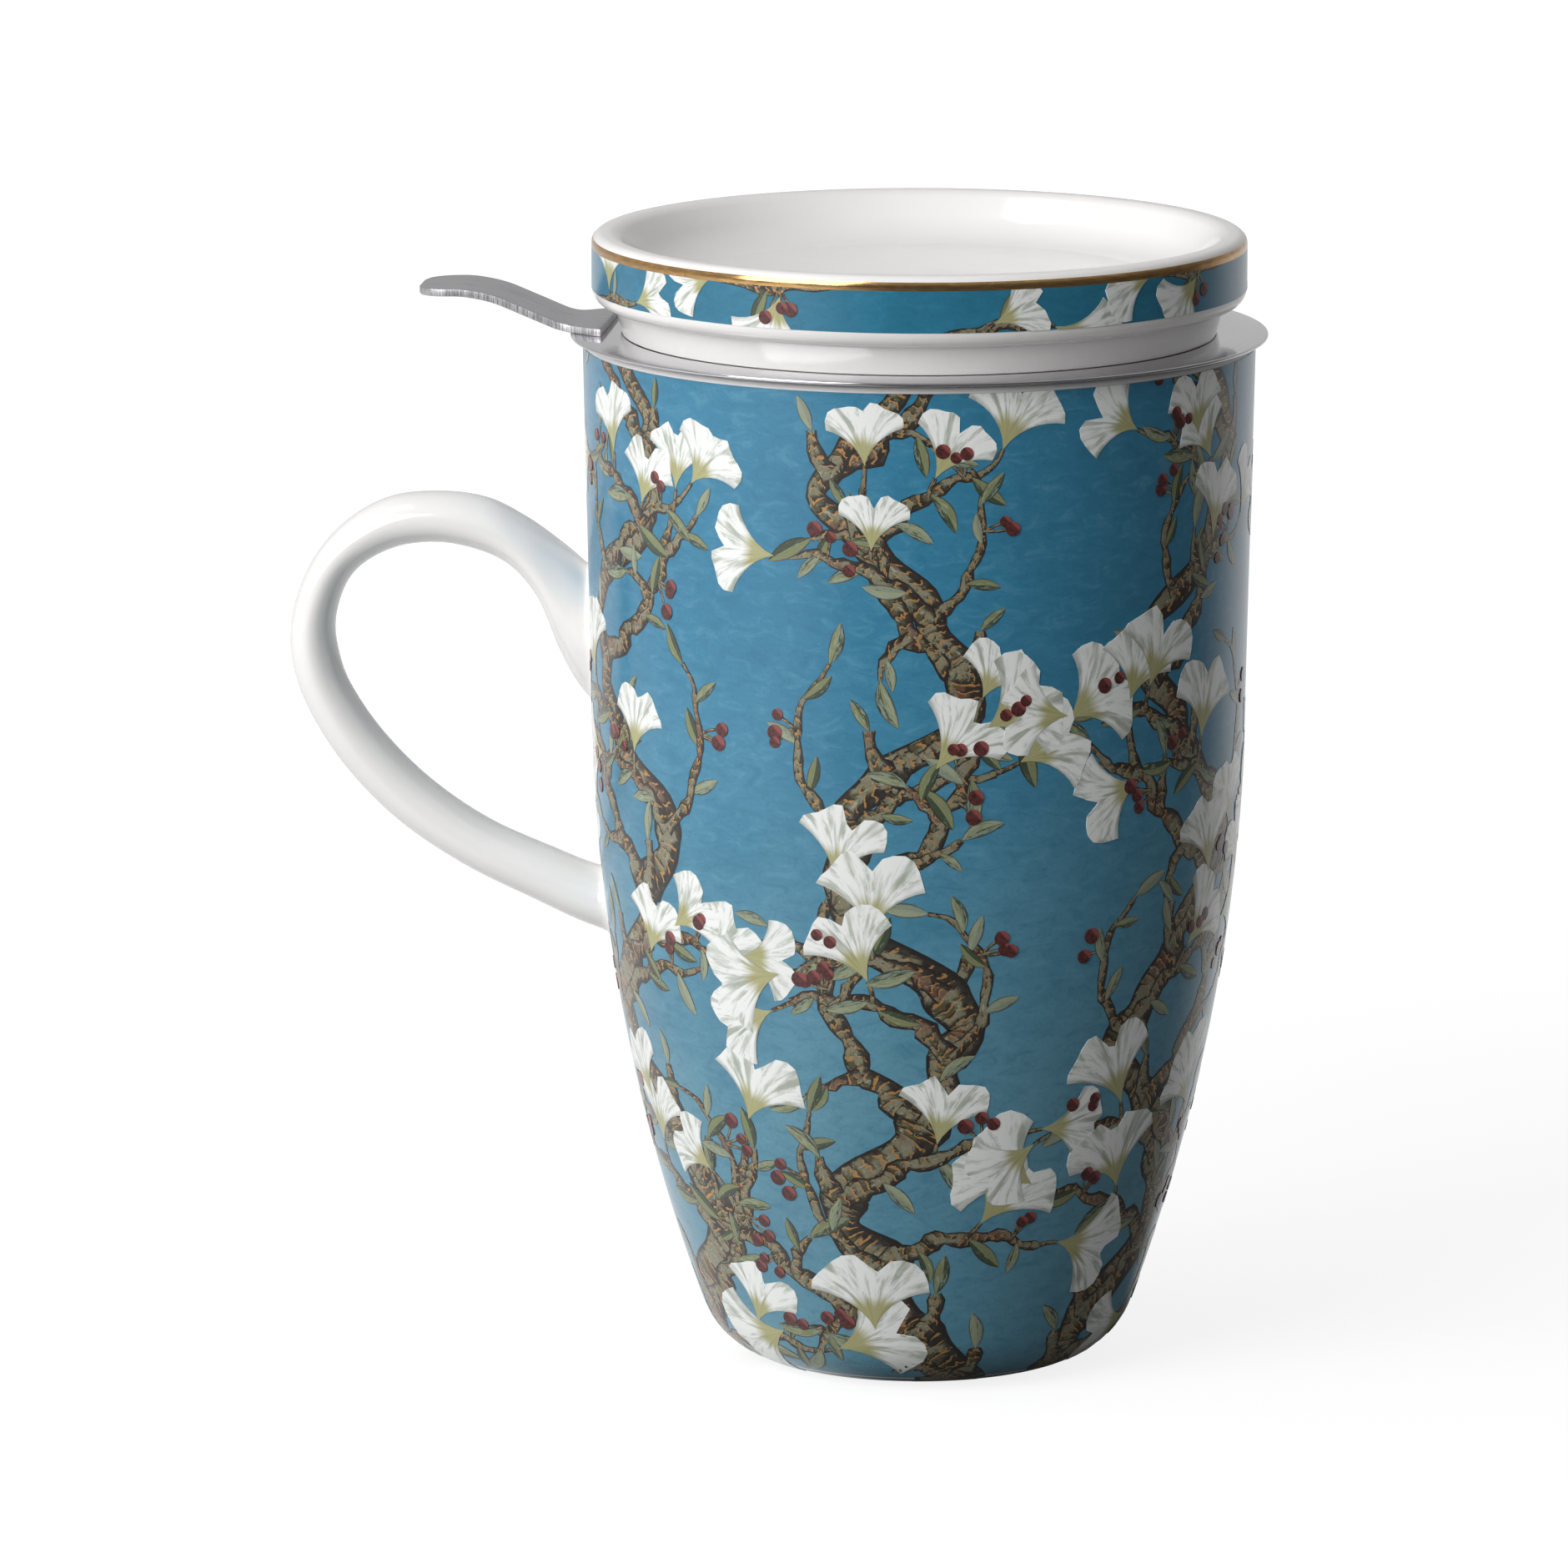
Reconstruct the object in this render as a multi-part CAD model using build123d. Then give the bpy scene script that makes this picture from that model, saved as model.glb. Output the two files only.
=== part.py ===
from build123d import *
import math
import os

# A tall porcelain tea mug with an ear handle, a stainless steel infuser that hangs in its
# mouth by a wide rim, and a loose porcelain lid whose hollow top is a drip saucer for the
# infuser. Millimetres, +Z up. The origin is the middle of the foot, on the resting plane;
# the ear handle and the infuser's tab both point along -X.

# --- cutters -----------------------------------------------------------------------------
CLEAR = 1.0                     # how far a cutter runs past the face it opens
CUTTER_REACH = 60.0             # radius that clears the mug's body

# --- mug -------------------------------------------------------------------------------
MUG_HEIGHT = 136.0
MUG_RIM_RADIUS = 44.1
SHOULDER_RADIUS = 43.0          # where the straight upper wall meets the belly's curve
SHOULDER_HEIGHT = 85.0
BELLY_CURVE = 244.0             # radius of the long curve from the shoulder to the heel
HEEL_ROUNDING = 11.0            # from the belly round to the flat foot
WALL = 3.0
RIM_ROUNDING = 1.35
FLOOR_HEIGHT = 5.5              # inside floor
FLOOR_ROUNDING = 13.0
FOOT_INNER_RADIUS = 15.0
FOOT_RECESS = 1.3

# --- printed transfers -------------------------------------------------------------------
FILM = 0.25                     # fired transfer with the glaze over it, flush with the wall
MUG_PRINT_BOTTOM = 0.5
MUG_PRINT_TOP = 134.6
MUG_PRINT_GAP = 8.0             # degrees left plain behind the handle

# --- ear handle ----------------------------------------------------------------------------
# Stations along the ear, from inside the wall at the upper root round to the lower root:
# outer edge's reach and height, inner edge's reach and height, width across the ear.
HANDLE_STATIONS = (
    (40.6, 101.8, 40.6, 84.5, 13.0),
    (44.2, 105.3, 44.5, 88.4, 12.6),
    (47.7, 108.2, 47.3, 93.3, 11.9),
    (52.1, 111.2, 50.2, 100.4, 11.2),
    (57.4, 113.7, 54.6, 105.2, 10.6),
    (63.8, 114.4, 61.4, 107.5, 10.2),
    (70.4, 113.5, 67.8, 107.3, 10.0),
    (76.2, 110.1, 72.8, 105.2, 10.0),
    (80.6, 104.8, 75.9, 102.0, 10.0),
    (83.2, 98.0, 77.5, 97.0, 10.0),
    (83.3, 91.6, 77.1, 92.5, 10.0),
    (81.1, 85.1, 75.4, 87.9, 10.0),
    (76.3, 77.5, 71.1, 81.7, 10.1),
    (69.2, 70.3, 64.8, 75.5, 10.3),
    (60.3, 64.4, 57.0, 70.3, 10.6),
    (50.4, 59.7, 47.9, 66.4, 11.2),
    (44.6, 57.1, 43.2, 64.6, 11.8),
    (38.2, 54.9, 37.4, 63.2, 12.4),
)

# --- infuser -------------------------------------------------------------------------------
INFUSER_RIM_RADIUS = 45.7
RIM_SHEET = 0.8
COLLAR_RADIUS = 38.2            # outside of the collar turned down from the rim
COLLAR_HEIGHT = 9.0
COLLAR_BEND = 1.2
BASKET_SHEET = 0.5
BASKET_RADIUS = COLLAR_RADIUS - RIM_SHEET
BASKET_TOP = MUG_HEIGHT - COLLAR_BEND
BASKET_STRAIGHT_BOTTOM = 122.0
BASKET_FLOOR_HEIGHT = 58.0
BASKET_FLOOR_RADIUS = 31.0
SLOT_WIDTH = 1.0
SLOT_LENGTH = 12.0
SLOT_ROWS = 4
SLOTS_PER_ROW = 17
SLOT_PITCH = 15.0
SLOT_MARGIN = 3.0               # plain wall above the first row
FLOOR_DISH = 3.0                # upturned edge of the floor disc
FLOOR_BEND = 1.2
HOLE_RADIUS = 1.1
HOLE_SIDES = 6
HOLE_RINGS = 3
HOLES_IN_FIRST_RING = 6
HOLE_PITCH = 8.0

# --- infuser tab ---------------------------------------------------------------------------
TAB_SHEET = 1.0
TAB_WIDTH = 13.4
TAB_ROOT_WIDTH = 20.0
TAB_ROOT_REACH = 40.8
TAB_FLARE_LENGTH = 4.5
TAB_FLARE_ROUNDING = 3.0
TAB_TIP_REACH = 65.6
TAB_BEND_REACH = 46.2
TAB_CREST_REACH = 57.4
TAB_RISE = 4.6
TAB_TIP_RISE = 4.4
TAB_BEND_RADIUS = 8.0
TAB_CREST_RADIUS = 16.0
TAB_CORNER = 4.0

# --- lid -----------------------------------------------------------------------------------
LID_SEAT = MUG_HEIGHT + RIM_SHEET
LID_HEIGHT = 150.0
LID_RADIUS = 42.9
NECK_FOOT_RADIUS = 38.9
NECK_TOP_RADIUS = 39.9
NECK_TOP = 140.7
SPIGOT_RADIUS = 36.2
SPIGOT_DEPTH = 4.4
SPIGOT_WALL = 2.8
LID_CEILING = 140.4
DISH_FLOOR = 144.0
DISH_RADIUS = 34.2
LID_RIM_WIDTH = 3.3
LID_PRINT_BOTTOM = 142.8
GOLD_BOTTOM = 148.2
GOLD_TOP = 149.3
LID_EDGE_ROUNDING = LID_HEIGHT - GOLD_TOP
LEDGE_ROUNDING = LID_PRINT_BOTTOM - NECK_TOP


def turned(section, arc=360):
    """Solid swept by a half section, drawn as radius and height, about the vertical axis."""
    return revolve(Plane.XZ * section, Axis.Z, arc)


def tube(outer, inner, bottom, top):
    ring = Circle(outer) - Circle(inner)
    return Pos(0, 0, bottom) * extrude(ring, top - bottom)


def mug_form(inset, floor, rounding, top=MUG_HEIGHT):
    """Everything inside the mug's wall line, moved in by inset and closed by a floor."""
    lean = math.atan2(MUG_RIM_RADIUS - SHOULDER_RADIUS, MUG_HEIGHT - SHOULDER_HEIGHT)
    curve = BELLY_CURVE - inset
    turn = math.asin(math.sin(lean) + (SHOULDER_HEIGHT - floor) / curve) - lean
    rim = Vector(MUG_RIM_RADIUS - inset + (top - MUG_HEIGHT) * math.tan(lean), top)
    shoulder = Vector(SHOULDER_RADIUS - inset, SHOULDER_HEIGHT)
    belly = JernArc(shoulder, shoulder - rim, curve, -math.degrees(turn))
    heel = belly @ 1
    outline = [
        Line((0, top), rim),
        Line(rim, shoulder),
        belly,
        Line(heel, (0, floor)),
        Line((0, floor), (0, top)),
    ]
    section = make_face(outline).face()
    corner = section.vertices().sort_by_distance((heel.X, heel.Y))[0]
    return turned(section.fillet_2d(rounding, [corner]))


def ear_bar():
    """The ear's bar, lofted through ovals that span its outer and inner edges."""
    ovals = []
    for outer_reach, outer_height, inner_reach, inner_height, width in HANDLE_STATIONS:
        outer = Vector(-outer_reach, 0, outer_height)
        inner = Vector(-inner_reach, 0, inner_height)
        across = outer - inner
        plane = Plane((outer + inner) / 2, x_dir=(0, 1, 0), z_dir=across.cross(Vector(0, 1, 0)))
        ovals.append(plane * Ellipse(width / 2, across.length / 2))
    return loft(ovals)


def make_mug_print():
    """The film round the mug, open along the handle and trimmed round its roots."""
    film = mug_form(0, 0, HEEL_ROUNDING) - mug_form(FILM, FILM, HEEL_ROUNDING)
    band = Pos(0, 0, MUG_PRINT_BOTTOM) * extrude(
        Circle(CUTTER_REACH), MUG_PRINT_TOP - MUG_PRINT_BOTTOM)
    half_gap = CUTTER_REACH * math.tan(math.radians(MUG_PRINT_GAP / 2))
    gap = Polygon((0, 0), (-CUTTER_REACH, half_gap), (-CUTTER_REACH, -half_gap), align=None)
    return (film & band) - extrude(gap, MUG_HEIGHT) - ear_bar()


def make_mug_body():
    """Porcelain body, let in by the film's thickness where the print lies."""
    body = mug_form(0, 0, HEEL_ROUNDING)
    body -= mug_form(WALL, FLOOR_HEIGHT, FLOOR_ROUNDING, MUG_HEIGHT + CLEAR)
    body = fillet(body.edges().group_by(Axis.Z)[-1], RIM_ROUNDING)
    recess = Cone(FOOT_INNER_RADIUS, FOOT_INNER_RADIUS - 2 * FOOT_RECESS, FOOT_RECESS,
                  align=(Align.CENTER, Align.CENTER, Align.MIN))
    return body - recess - make_mug_print()


def make_mug_handle():
    """Ear handle, cut at both roots by the mug's wall."""
    return ear_bar() - mug_form(0, 0, HEEL_ROUNDING)


def make_infuser_rim():
    """Flat rim with a collar turned down from its inner edge, one stamping."""
    collar_inside = COLLAR_RADIUS - RIM_SHEET
    collar_bottom = MUG_HEIGHT - COLLAR_HEIGHT
    outline = FilletPolyline(
        (collar_inside, collar_bottom),
        (COLLAR_RADIUS, collar_bottom),
        (COLLAR_RADIUS, MUG_HEIGHT),
        (INFUSER_RIM_RADIUS, MUG_HEIGHT),
        (INFUSER_RIM_RADIUS, LID_SEAT),
        (collar_inside, LID_SEAT),
        radius=[0, 0, COLLAR_BEND, 0, 0, COLLAR_BEND + RIM_SHEET],
        close=True)
    return turned(make_face(outline))


def basket_radius(height):
    """Inside radius of the tapered basket wall."""
    run = (height - BASKET_FLOOR_HEIGHT) / (BASKET_STRAIGHT_BOTTOM - BASKET_FLOOR_HEIGHT)
    return BASKET_FLOOR_RADIUS + (BASKET_RADIUS - BASKET_FLOOR_RADIUS) * run - BASKET_SHEET


def make_infuser_wall():
    """Rolled and seam-welded basket wall: a plain band in the collar, then a slotted taper."""
    outline = Polyline(
        (BASKET_RADIUS, BASKET_TOP),
        (BASKET_RADIUS, BASKET_STRAIGHT_BOTTOM),
        (BASKET_FLOOR_RADIUS, BASKET_FLOOR_HEIGHT),
        (BASKET_FLOOR_RADIUS - BASKET_SHEET, BASKET_FLOOR_HEIGHT),
        (BASKET_RADIUS - BASKET_SHEET, BASKET_STRAIGHT_BOTTOM),
        (BASKET_RADIUS - BASKET_SHEET, BASKET_TOP),
        close=True)
    wall = turned(make_face(outline))
    punch = Pos(CUTTER_REACH / 2, 0, 0) * Box(CUTTER_REACH, SLOT_WIDTH, SLOT_LENGTH)
    slots = []
    for row in range(SLOT_ROWS):
        height = BASKET_STRAIGHT_BOTTOM - SLOT_MARGIN - SLOT_LENGTH / 2 - row * SLOT_PITCH
        for index in range(SLOTS_PER_ROW):
            angle = 360 / SLOTS_PER_ROW * (index + row % 2 / 2)
            slots.append(Rot(0, 0, angle) * Pos(0, 0, height) * punch)
    return wall - slots


def make_infuser_floor():
    """Dished disc with rings of round holes, its upturned edge welded inside the wall."""
    edge_top = BASKET_FLOOR_HEIGHT + FLOOR_DISH
    foot = basket_radius(BASKET_FLOOR_HEIGHT)
    lip = basket_radius(edge_top)
    outline = FilletPolyline(
        (0, BASKET_FLOOR_HEIGHT),
        (foot, BASKET_FLOOR_HEIGHT),
        (lip, edge_top),
        (lip - BASKET_SHEET, edge_top),
        (foot - BASKET_SHEET, BASKET_FLOOR_HEIGHT + BASKET_SHEET),
        (0, BASKET_FLOOR_HEIGHT + BASKET_SHEET),
        radius=[0, FLOOR_BEND, 0, 0, FLOOR_BEND - BASKET_SHEET, 0],
        close=True)
    disc = turned(make_face(outline))
    punch = Pos(0, 0, BASKET_FLOOR_HEIGHT - CLEAR) * extrude(
        RegularPolygon(HOLE_RADIUS, HOLE_SIDES), BASKET_SHEET + 2 * CLEAR)
    holes = [punch]
    for ring in range(1, HOLE_RINGS + 1):
        count = HOLES_IN_FIRST_RING * ring
        for index in range(count):
            turn = Rot(0, 0, 360 / count * index)
            holes.append(turn * Pos(ring * HOLE_PITCH, 0, 0) * punch)
    return disc - holes


def make_infuser_tab():
    """Strip handle: a fan-shaped root spot-welded on the rim, a rising shank, a round tip."""
    line = FilletPolyline(
        (-TAB_ROOT_REACH, LID_SEAT),
        (-TAB_BEND_REACH, LID_SEAT),
        (-TAB_CREST_REACH, LID_SEAT + TAB_RISE),
        (-TAB_TIP_REACH, LID_SEAT + TAB_TIP_RISE),
        radius=[TAB_BEND_RADIUS, TAB_CREST_RADIUS])
    edge = offset(line, TAB_SHEET, side=Side.RIGHT)
    strip = extrude(Plane.XZ * make_face(edge), TAB_ROOT_WIDTH / 2, both=True)
    half, root_half = TAB_WIDTH / 2, TAB_ROOT_WIDTH / 2
    flare_end = TAB_ROOT_REACH + TAB_FLARE_LENGTH
    plan = FilletPolyline(
        (-TAB_ROOT_REACH, -root_half),
        (-flare_end, -half),
        (-TAB_TIP_REACH, -half),
        (-TAB_TIP_REACH, half),
        (-flare_end, half),
        (-TAB_ROOT_REACH, root_half),
        radius=[TAB_FLARE_ROUNDING, TAB_CORNER, TAB_CORNER, TAB_FLARE_ROUNDING],
        close=False)
    blank = make_face([*plan.edges(), Line(plan @ 1, plan @ 0)])
    return strip & extrude(blank, LID_HEIGHT)


def make_lid_body():
    outline = FilletPolyline(
        (0, LID_CEILING),
        (SPIGOT_RADIUS - SPIGOT_WALL, LID_CEILING),
        (SPIGOT_RADIUS - SPIGOT_WALL, LID_SEAT - SPIGOT_DEPTH),
        (SPIGOT_RADIUS, LID_SEAT - SPIGOT_DEPTH),
        (SPIGOT_RADIUS, LID_SEAT),
        (NECK_FOOT_RADIUS, LID_SEAT),
        (NECK_TOP_RADIUS, NECK_TOP),
        (LID_RADIUS, NECK_TOP),
        (LID_RADIUS, LID_HEIGHT),
        (LID_RADIUS - LID_RIM_WIDTH, LID_HEIGHT),
        (DISH_RADIUS, DISH_FLOOR),
        (0, DISH_FLOOR),
        radius=[0, 2.0, 1.0, 1.0, 0, 0.5, 0.4, LEDGE_ROUNDING, LID_EDGE_ROUNDING, 2.4, 9.0, 0],
        close=True)
    return turned(make_face(outline)) - make_lid_print() - make_lid_gold_line()


def make_lid_print():
    return tube(LID_RADIUS, LID_RADIUS - FILM, LID_PRINT_BOTTOM, GOLD_BOTTOM)


def make_lid_gold_line():
    return tube(LID_RADIUS, LID_RADIUS - FILM, GOLD_BOTTOM, GOLD_TOP)


parts = {
    "mug_body": make_mug_body(),
    "mug_handle": make_mug_handle(),
    "mug_print": make_mug_print(),
    "infuser_rim": make_infuser_rim(),
    "infuser_wall": make_infuser_wall(),
    "infuser_floor": make_infuser_floor(),
    "infuser_tab": make_infuser_tab(),
    "lid_body": make_lid_body(),
    "lid_print": make_lid_print(),
    "lid_gold_line": make_lid_gold_line(),
}

os.makedirs("parts", exist_ok=True)
for name, shape in parts.items():
    shape.label = name
    export_step(shape, f"parts/{name}.step")
    print(name, round(shape.volume), shape.bounding_box())
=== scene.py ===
import math
import random
from functools import cache
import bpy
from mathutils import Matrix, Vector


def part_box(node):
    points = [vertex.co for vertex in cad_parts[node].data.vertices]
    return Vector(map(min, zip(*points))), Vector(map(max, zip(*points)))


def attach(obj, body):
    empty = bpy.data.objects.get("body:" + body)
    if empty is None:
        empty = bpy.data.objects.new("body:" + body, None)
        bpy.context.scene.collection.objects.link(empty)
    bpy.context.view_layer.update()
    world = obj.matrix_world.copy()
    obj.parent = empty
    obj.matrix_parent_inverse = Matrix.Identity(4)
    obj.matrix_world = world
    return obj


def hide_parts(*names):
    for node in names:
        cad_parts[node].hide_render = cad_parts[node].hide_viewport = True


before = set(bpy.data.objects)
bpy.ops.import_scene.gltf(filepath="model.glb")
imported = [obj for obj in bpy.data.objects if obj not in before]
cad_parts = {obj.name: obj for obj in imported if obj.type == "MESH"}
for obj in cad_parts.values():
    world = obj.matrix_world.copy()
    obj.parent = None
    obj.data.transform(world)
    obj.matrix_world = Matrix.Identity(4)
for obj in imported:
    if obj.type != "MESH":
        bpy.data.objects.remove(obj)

from types import SimpleNamespace

import bmesh
import bpy
from bpy.props import FloatProperty, FloatVectorProperty, IntProperty, PointerProperty
from mathutils import Matrix, Vector

bl_info = {
    "name": "Lidded tea mug with infuser",
    "version": (1, 0, 0),
    "blender": (4, 5, 0),
    "location": "View3D > Sidebar > Tea Mug",
    "description": "Dresses a porcelain tea mug, its steel infuser and its dished lid",
    "category": "Object",
}

MM = 0.001
FULL_TURN = 2 * math.pi
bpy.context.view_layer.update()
WELD_DISTANCE = 1e-4            # millimetres


# --- settings ------------------------------------------------------------------------------

def length(name, description, millimetres):
    return FloatProperty(name=name, description=description, default=millimetres * MM,
                         unit="LENGTH", precision=5)


def colour(name, description, *display):
    """A colour property from display values out of 255."""
    return FloatVectorProperty(name=name, description=description, subtype="COLOR", size=3,
                               min=0, max=1, default=tuple(map(linear, display)))


def linear(value):
    """Scene value for a display value out of 255."""
    share = value / 255
    return share / 12.92 if share <= 0.04045 else ((share + 0.055) / 1.055) ** 2.4


def top_of(node):
    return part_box(node)[1].z / MM


def radius_of(node):
    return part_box(node)[1].x / MM


def sizes(name):
    """The lengths of a property group as plain numbers in millimetres."""
    group = getattr(bpy.context.scene, "tea_" + name)
    return SimpleNamespace(**{key: getattr(group, key) / MM for key in group.__annotations__})


class MugSizes(bpy.types.PropertyGroup):
    """Lengths of the porcelain mug"""
    height: length("Height", "From the foot to the lip", top_of("mug_body"))
    rim_radius: length("Lip radius", "Outside radius of the wall at the lip", 44.1)
    shoulder_radius: length("Shoulder radius", "Where the belly's curve begins", 43.0)
    shoulder_height: length("Shoulder height", "Height where the belly's curve begins", 85.0)
    belly_curve: length("Belly curve", "Radius of the long curve down to the heel", 244.0)
    heel_rounding: length("Heel rounding", "Radius from the belly round to the foot", 11.0)
    wall: length("Wall", "Thickness of the porcelain wall", 3.0)
    rim_rounding: length("Lip rounding", "Radius of the lip's edges", 1.35)
    floor_height: length("Floor height", "Height of the inside floor", 5.5)
    floor_rounding: length("Floor rounding", "Radius between wall and inside floor", 13.0)
    foot_inner_radius: length("Foot inner radius", "Inner edge of the foot ring", 15.0)
    foot_recess: length("Foot recess", "Depth of the hollow inside the foot ring", 1.3)
    handle_fillet: length("Handle fillet", "Glaze gathered where the ear meets the wall", 1.3)


class InfuserSizes(bpy.types.PropertyGroup):
    """Lengths of the steel infuser"""
    rim_radius: length("Rim radius", "Outside radius of the flat rim", radius_of("infuser_rim"))
    rim_sheet: length("Rim sheet", "Thickness of the rim and its collar", 0.8)
    collar_radius: length("Collar radius", "Outside radius of the turned down collar", 38.2)
    collar_height: length("Collar height", "Depth of the collar below the lip", 9.0)
    collar_bend: length("Collar bend", "Inside radius of the bend into the collar", 1.2)
    rim_edge: length("Rim edge", "Rounding of the rim's outer edge", 0.16)
    rim_thinning: length("Rim thinning", "How much the rim thins out under its edge", 0.4)
    basket_sheet: length("Basket sheet", "Thickness of the perforated sheet", 0.5)
    straight_bottom: length("Straight bottom", "Height where the basket starts to taper", 122.0)
    floor_height: length("Basket floor", "Height of the basket's floor", 58.0)
    floor_radius: length("Floor radius", "Outside radius of the basket at its floor", 31.0)
    hole: length("Hole", "Height of the fine holes", 1.0)
    hole_pitch: length("Hole pitch", "Distance between rows of holes", 2.1)
    tab_sheet: length("Tab sheet", "Thickness of the tab", 1.0)
    tab_width: length("Tab width", "Width of the tab's shank", 13.4)
    tab_root_width: length("Root width", "Width of the tab where it is welded on", 20.0)
    tab_root_reach: length("Root reach", "Inner end of the tab, from the axis", 40.8)
    tab_flare: length("Flare", "Length over which the root widens", 4.5)
    tab_bend_reach: length("Bend reach", "Where the tab starts to rise", 46.2)
    tab_crest_reach: length("Crest reach", "Where the tab levels out", 57.4)
    tab_tip_reach: length("Tip reach", "Outer end of the tab", -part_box("infuser_tab")[0].x / MM)
    tab_rise: length("Rise", "Height of the crest over the rim", 4.6)
    tab_tip_rise: length("Tip rise", "Height of the tip over the rim", 4.4)
    tab_corner: length("Tip corner", "Rounding of the tip's corners", 4.0)
    tab_edge: length("Tab edge", "Rounding of the sheared edges", 0.12)


class LidSizes(bpy.types.PropertyGroup):
    """Lengths of the porcelain lid"""
    height: length("Height", "Height of the lid's crest", top_of("lid_body"))
    radius: length("Radius", "Outside radius of the band", radius_of("lid_body"))
    neck_foot_radius: length("Neck foot", "Radius of the neck on the infuser's rim", 38.9)
    neck_top_radius: length("Neck top", "Radius of the neck under the band", 39.9)
    neck_top: length("Neck height", "Height of the ledge over the neck", 140.7)
    spigot_radius: length("Spigot radius", "Outside radius of the locating ring", 36.2)
    spigot_depth: length("Spigot depth", "Reach of the ring into the infuser", 4.4)
    spigot_wall: length("Spigot wall", "Thickness of the locating ring", 2.8)
    ceiling: length("Ceiling", "Height of the lid's underside", 140.4)
    dish_floor: length("Dish floor", "Height of the hollow top's floor", 144.0)
    dish_radius: length("Dish radius", "Radius of the hollow's floor", 34.2)
    crest_width: length("Crest width", "Width of the crest round the hollow", 3.3)
    edge_rounding: length("Edge rounding", "Rounding from the wall up to the crest", 1.4)
    print_bottom: length("Band bottom", "Lower edge of the printed band", 142.8)
    gold_bottom: length("Gold bottom", "Lower edge of the gold line", 148.2)
    gold_top: length("Gold top", "Upper edge of the gold line", 149.3)


class PrintSizes(bpy.types.PropertyGroup):
    """Lengths of the printed design"""
    step: length("Film step", "How far a film stands proud of the glaze below it", 0.05)
    sink: length("Film sink", "How deep the films reach into the glaze", 0.15)
    bottom: length("Print bottom", "Lower edge of the mug's film", 0.5)
    top: length("Print top", "Upper edge of the mug's film", 135.2)
    gap: length("Print gap", "Plain strip behind the handle", 6.0)
    fan: length("Fan leaf", "Length of a fan leaf", 11.6)
    sprig: length("Sprig leaf", "Length of a narrow leaf", 7.0)
    berry: length("Berry", "Radius of a berry", 0.95)
    stem: length("Stem", "Width of a vine at its foot", 6.0)
    wave: length("Wave", "Height of one turn of a vine", 50.0)
    sway: length("Sway", "Reach of a vine to either side", 9.0)
    twig: length("Twig", "Length of a side shoot", 25.0)
    stalk: length("Stalk", "Length of a leaf's stalk", 3.6)


class Finishes(bpy.types.PropertyGroup):
    """Colours of the finishes"""
    porcelain: colour("Porcelain", "White glazed body", 244, 242, 240)
    bisque: colour("Bisque", "Unglazed foot ring", 222, 214, 203)
    ground: colour("Ground", "Teal ground of the print", 56, 130, 164)
    ground_low: colour("Lower ground", "Greyer teal of the print's lower half", 97, 150, 171)
    lid_ground: colour("Lid ground", "Deeper teal of the lid's band", 44, 120, 150)
    fan: colour("Fan leaves", "White of the fan leaves", 246, 248, 246)
    fan_shade: colour("Fan shade", "Grey green strokes in the fan leaves", 168, 178, 160)
    fan_heart: colour("Fan heart", "Yellow green at the foot of a fan leaf", 164, 160, 92)
    sprig: colour("Sprigs", "Sage green of the narrow leaves", 128, 134, 96)
    sprig_dark: colour("Dark sprigs", "Shaded side of the narrow leaves", 66, 78, 60)
    stem: colour("Stems", "Olive of the vines", 128, 120, 88)
    stem_grey: colour("Grey stems", "Grey strokes in the vines", 138, 138, 124)
    stem_dark: colour("Stem outline", "Dark edge of the vines", 44, 40, 38)
    rust: colour("Rust", "Reddish brown patches in the vines", 112, 74, 60)
    fired_gold: colour("Fired gold", "Gold arcs across the vines", 196, 148, 92)
    berry: colour("Berries", "Dark red of the berries", 96, 50, 48)
    gold: colour("Gold", "Burnished gold", 208, 166, 112)
    steel: colour("Steel", "Stainless steel", 196, 195, 198)


class Counts(bpy.types.PropertyGroup):
    """How many of each repeated thing"""
    turn: IntProperty(name="Turn steps", description="Steps in a full turn", default=240)
    vines: IntProperty(name="Vines", description="Vines round the mug", default=6)
    basket_columns: IntProperty(name="Basket columns", description="Holes in a row",
                                default=104)


SETTINGS = {
    "tea_mug": MugSizes,
    "tea_infuser": InfuserSizes,
    "tea_lid": LidSizes,
    "tea_print": PrintSizes,
    "tea_finishes": Finishes,
    "tea_counts": Counts,
}


# --- modelling helpers ---------------------------------------------------------------------

def in_scene(name, data):
    thing = bpy.data.objects.new(name, data)
    bpy.context.scene.collection.objects.link(thing)
    return thing


def finished_mesh(bm, name):
    """Makes a mesh of a drawing in millimetres."""
    bmesh.ops.scale(bm, vec=(MM, MM, MM), verts=bm.verts)
    mesh = bpy.data.meshes.new(name)
    bm.to_mesh(mesh)
    bm.free()
    return mesh


def finish_piece(bm, name, body, replaces, finishes, sharp=35):
    """Makes a piece, gives it its finishes and hangs it on its body."""
    mesh = finished_mesh(bm, name)
    for surface in finishes:
        mesh.materials.append(finish(surface))
    mesh.shade_smooth()
    mesh.set_sharp_from_angle(angle=math.radians(sharp))
    piece = in_scene(name, mesh)
    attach(piece, body)
    if replaces:
        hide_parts(*replaces)


def wire(bm, points, closed=False):
    """A chain of edges through points given as radius and height."""
    verts = [bm.verts.new((r, 0, z)) for r, z in points]
    for first, second in zip(verts, verts[1:]):
        bm.edges.new((first, second))
    if closed:
        bm.edges.new((verts[-1], verts[0]))
    return verts


def bend_grid(bm, lines):
    """A grid whose rows follow lines of equally many points."""
    length = len(lines[0])
    made = bmesh.ops.create_grid(bm, x_segments=length - 1, y_segments=len(lines) - 1, size=1)
    for index, vert in enumerate(made["verts"]):
        vert.co = lines[index // length][index % length]


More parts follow.
